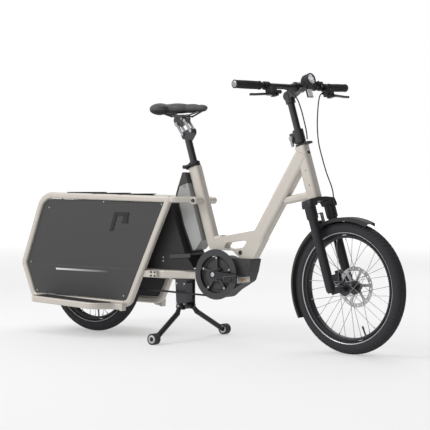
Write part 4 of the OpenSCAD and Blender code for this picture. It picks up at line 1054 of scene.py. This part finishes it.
class CARGO_OT_frame_details(CargoBikeOperator, bpy.types.Operator):
    """Makes the charge port plug, the head tube's slot and its dots"""

    bl_idname = "cargo_bike.frame_details"
    bl_label = "Frame details"

    def make(self, context):
        bm = bmesh.new()
        add_dome(bm, 9.5 * MM, 3 * MM, along_y(WORLD, (0.190, -0.022, 0.377), (0, -1, 0)))
        add_block(bm, (0.0240, -0.010, 0.178), (0.0253, 0.010, 0.190), HEAD, 0.4 * MM)
        piece("port_plug_and_slot", bm, "black_plastic", "frame")
        bm = bmesh.new()
        for side in (-1, 1):
            for w in (0.054, 0.114):
                add_screw(bm, (0.004, side * 0.0229, w), (0, side, 0), 2.2 * MM, HEAD)
        piece("head_tube_rivets", bm, "dark_anodised", "frame")


# ---------------------------------------------------------------- saddle
SADDLE_LOBES = (((-0.226, 0.036, 0.975), (0.046, 0.040, 0.024)), ((-0.226, -0.036, 0.975), (0.046, 0.040, 0.024)),
                ((-0.155, 0, 0.977), (0.072, 0.036, 0.020)), ((-0.085, 0, 0.976), (0.070, 0.021, 0.016)),
                ((-0.025, 0, 0.975), (0.030, 0.0165, 0.014)))


class CARGO_OT_saddle(CargoBikeOperator, bpy.types.Operator):
    """Makes the padded saddle, inflated as cloth, and the shell below it"""

    bl_idname = "cargo_bike.saddle"
    bl_label = "Saddle"

    def make(self, context):
        bm = bmesh.new()
        for middle, radii in SADDLE_LOBES:
            bmesh.ops.create_uvsphere(bm, u_segments=32, v_segments=20, radius=1,
                                      matrix=Matrix.Translation(middle) @ Matrix.Diagonal((*radii, 1)))
        form = piece("saddle_cover", bm, "saddle_skin")
        remesh = form.modifiers.new("even_grid", "REMESH")
        remesh.mode = "VOXEL"
        remesh.voxel_size = sizes().saddle_voxel
        self.apply_modifiers(form)
        before = [v.co.copy() for v in form.data.vertices]
        self.inflate(context, form)
        self.shape(form, before)
        thicker = form.modifiers.new("finer", "SUBSURF")
        thicker.levels = thicker.render_levels = 1
        self.apply_modifiers(form)
        form.data.shade_smooth()
        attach(form, "saddle_head")
        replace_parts(form, "saddle")
        self.shell(form)

    def apply_modifiers(self, made):
        bpy.context.view_layer.update()
        seen = made.evaluated_get(bpy.context.evaluated_depsgraph_get())
        mesh = bpy.data.meshes.new_from_object(seen)
        made.modifiers.clear()
        made.data = mesh

    def inflate(self, context, form):
        cloth = form.modifiers.new("inflate", "CLOTH")
        cloth.settings.use_pressure = True
        cloth.settings.uniform_pressure_force = 4
        cloth.settings.effector_weights.gravity = 0
        cloth.point_cache.frame_start = 1
        cloth.point_cache.frame_end = 20
        for step in range(1, 21):
            context.scene.frame_set(step)
        self.apply_modifiers(form)
        context.scene.frame_set(1)

    def shape(self, form, before):
        """Keeps the padding close to its pattern and presses the channel into it."""
        most = 3 * MM
        for vert, old in zip(form.data.vertices, before):
            moved = vert.co - old
            if moved.length > most:
                vert.co = old + moved.normalized() * most
            if vert.co.z > 0.972:
                across = max(0.0, 1 - abs(vert.co.y) / 0.011)
                along = max(0.0, 1 - ((vert.co.x + 0.165) / 0.100) ** 2)
                vert.co.z -= sizes().saddle_seam * across * across * along
            vert.co.z = max(vert.co.z, 0.9575 if abs(vert.co.y) < 0.030 else 0.9500)

    def shell(self, form):
        bm = bmesh.new()
        bm.from_mesh(form.data)
        cut = bmesh.ops.bisect_plane(bm, geom=bm.verts[:] + bm.edges[:] + bm.faces[:],
                                     plane_co=(0, 0, 0.967), plane_no=(0, 0, -1), clear_inner=True)
        rim = [g for g in cut["geom_cut"] if isinstance(g, bmesh.types.BMEdge)]
        bmesh.ops.holes_fill(bm, edges=rim, sides=0)
        bm.normal_update()
        for vert, normal in [(v, v.normal.copy()) for v in bm.verts]:
            vert.co += normal * 1.2 * MM
        piece("saddle_shell", bm, "black_plastic", "saddle_head")


# ---------------------------------------------------------------- stage
CAMERA_PLACE = (3.243, -4.3791, 0.6531)
CAMERA_TURN = math.radians(36.14)
CAMERA_LIFT = math.radians(1.32)
CAMERA_ROLL = math.radians(0.35)
CAMERA_LENS = 108.94


class CARGO_OT_stage(CargoBikeOperator, bpy.types.Operator):
    """Makes the floor, the lights and the camera"""

    bl_idname = "cargo_bike.stage"
    bl_label = "Stage"

    def make(self, context):
        bm = bmesh.new()
        bmesh.ops.create_grid(bm, x_segments=1, y_segments=1, size=60)
        floor = piece("studio_floor", bm, "frame_paint")
        made = Finish("studio_floor")
        away = made.add("ShaderNodeVectorMath", {0: made.where}, operation="LENGTH").outputs["Value"]
        made.set(base_color=(*colours().floor, 1), roughness=0.85, specular_ior_level=0.2,
                 emission_color=(1, 1, 1, 1), emission_strength=made.between(away, 0.38, 0.78, 3.0, 12.0))
        floor.data.materials[0] = made.material
        self.sky(context)
        self.light("key_light", (-2.2, -3.6, 3.4), (-0.1, 0, 0.5), 2.2, 78)
        self.light("fill_light", (2.8, -3.4, 2.0), (0.2, 0, 0.45), 2.6, 10)
        self.light("back_light", (-0.6, 3.6, 3.0), (0, 0, 0.5), 3.2, 30)
        self.light("top_light", (-0.4, 0.2, 4.2), (0, 0, 0.5), 3.4, 34)
        self.camera(context)

    def sky(self, context):
        """Soft white round the bicycle, brighter behind it than in front of it."""
        world = bpy.data.worlds.new("studio")
        world.use_nodes = True
        tree = world.node_tree
        along = tree.nodes.new("ShaderNodeSeparateXYZ")
        tree.links.new(tree.nodes.new("ShaderNodeTexCoord").outputs["Generated"], along.inputs["Vector"])
        fade = tree.nodes.new("ShaderNodeMapRange")
        for socket, value in (("From Min", -0.35), ("From Max", 0.75), ("To Min", 1.0), ("To Max", 0.12)):
            fade.inputs[socket].default_value = value
        tree.links.new(along.outputs["X"], fade.inputs["Value"])
        tree.links.new(fade.outputs["Result"], tree.nodes["Background"].inputs["Strength"])
        tree.nodes["Background"].inputs["Color"].default_value = (1, 1, 1, 1)
        context.scene.world = world
        context.scene.view_settings.view_transform = "Standard"

    def light(self, name, at, toward, size, power):
        data = bpy.data.lights.new(name, "AREA")
        data.shape = "DISK"
        data.size = size
        data.energy = power
        lamp = bpy.data.objects.new(name, data)
        aimed = (Vector(at) - Vector(toward)).to_track_quat("Z", "Y").to_matrix().to_4x4()
        lamp.matrix_world = Matrix.Translation(at) @ aimed
        bpy.context.scene.collection.objects.link(lamp)

    def camera(self, context):
        back = Vector((math.sin(CAMERA_TURN) * math.cos(CAMERA_LIFT),
                       -math.cos(CAMERA_TURN) * math.cos(CAMERA_LIFT), math.sin(CAMERA_LIFT)))
        right = (-back).cross(Vector((0, 0, 1))).normalized()
        level = place(right, right.cross(-back), back, CAMERA_PLACE)
        data = bpy.data.cameras.new("camera")
        data.lens = CAMERA_LENS
        data.sensor_width = 36
        made = bpy.data.objects.new("camera", data)
        made.matrix_world = level @ Matrix.Rotation(CAMERA_ROLL, 4, "Z")
        context.scene.collection.objects.link(made)
        context.scene.camera = made


OPERATORS = (CARGO_OT_finishes, CARGO_OT_tyres, CARGO_OT_reflex_bands, CARGO_OT_wheel_details,
             CARGO_OT_grips, CARGO_OT_headlight, CARGO_OT_bar_fittings, CARGO_OT_hoses,
             CARGO_OT_battery_trim, CARGO_OT_panel_trim, CARGO_OT_belt_teeth, CARGO_OT_drive_details,
             CARGO_OT_pedal_trim, CARGO_OT_stand_details, CARGO_OT_seatpost_details,
             CARGO_OT_fork_details, CARGO_OT_frame_details, CARGO_OT_saddle, CARGO_OT_stage)


class CARGO_PT_bicycle(bpy.types.Panel):
    """Sidebar panel with every piece of the cargo bicycle"""

    bl_label = "Cargo bicycle"
    bl_idname = "CARGO_PT_bicycle"
    bl_space_type = "VIEW_3D"
    bl_region_type = "UI"
    bl_category = "Cargo bicycle"

    def draw(self, context):
        for group in (context.scene.cargo_bike_sizes, context.scene.cargo_bike_colours):
            box = self.layout.box()
            for name in group.__annotations__:
                box.prop(group, name)
        for operator in OPERATORS:
            self.layout.operator(operator.bl_idname)


CLASSES = (CargoBikeSizes, CargoBikeColours, *OPERATORS, CARGO_PT_bicycle)


def register():
    for cls in CLASSES:
        bpy.utils.register_class(cls)
    bpy.types.Scene.cargo_bike_sizes = bpy.props.PointerProperty(type=CargoBikeSizes)
    bpy.types.Scene.cargo_bike_colours = bpy.props.PointerProperty(type=CargoBikeColours)


def unregister():
    del bpy.types.Scene.cargo_bike_colours
    del bpy.types.Scene.cargo_bike_sizes
    for cls in reversed(CLASSES):
        bpy.utils.unregister_class(cls)


def main():
    register()
    for operator in OPERATORS:
        group, name = operator.bl_idname.split(".")
        getattr(getattr(bpy.ops, group), name)()


if __name__ == "__main__":
    main()
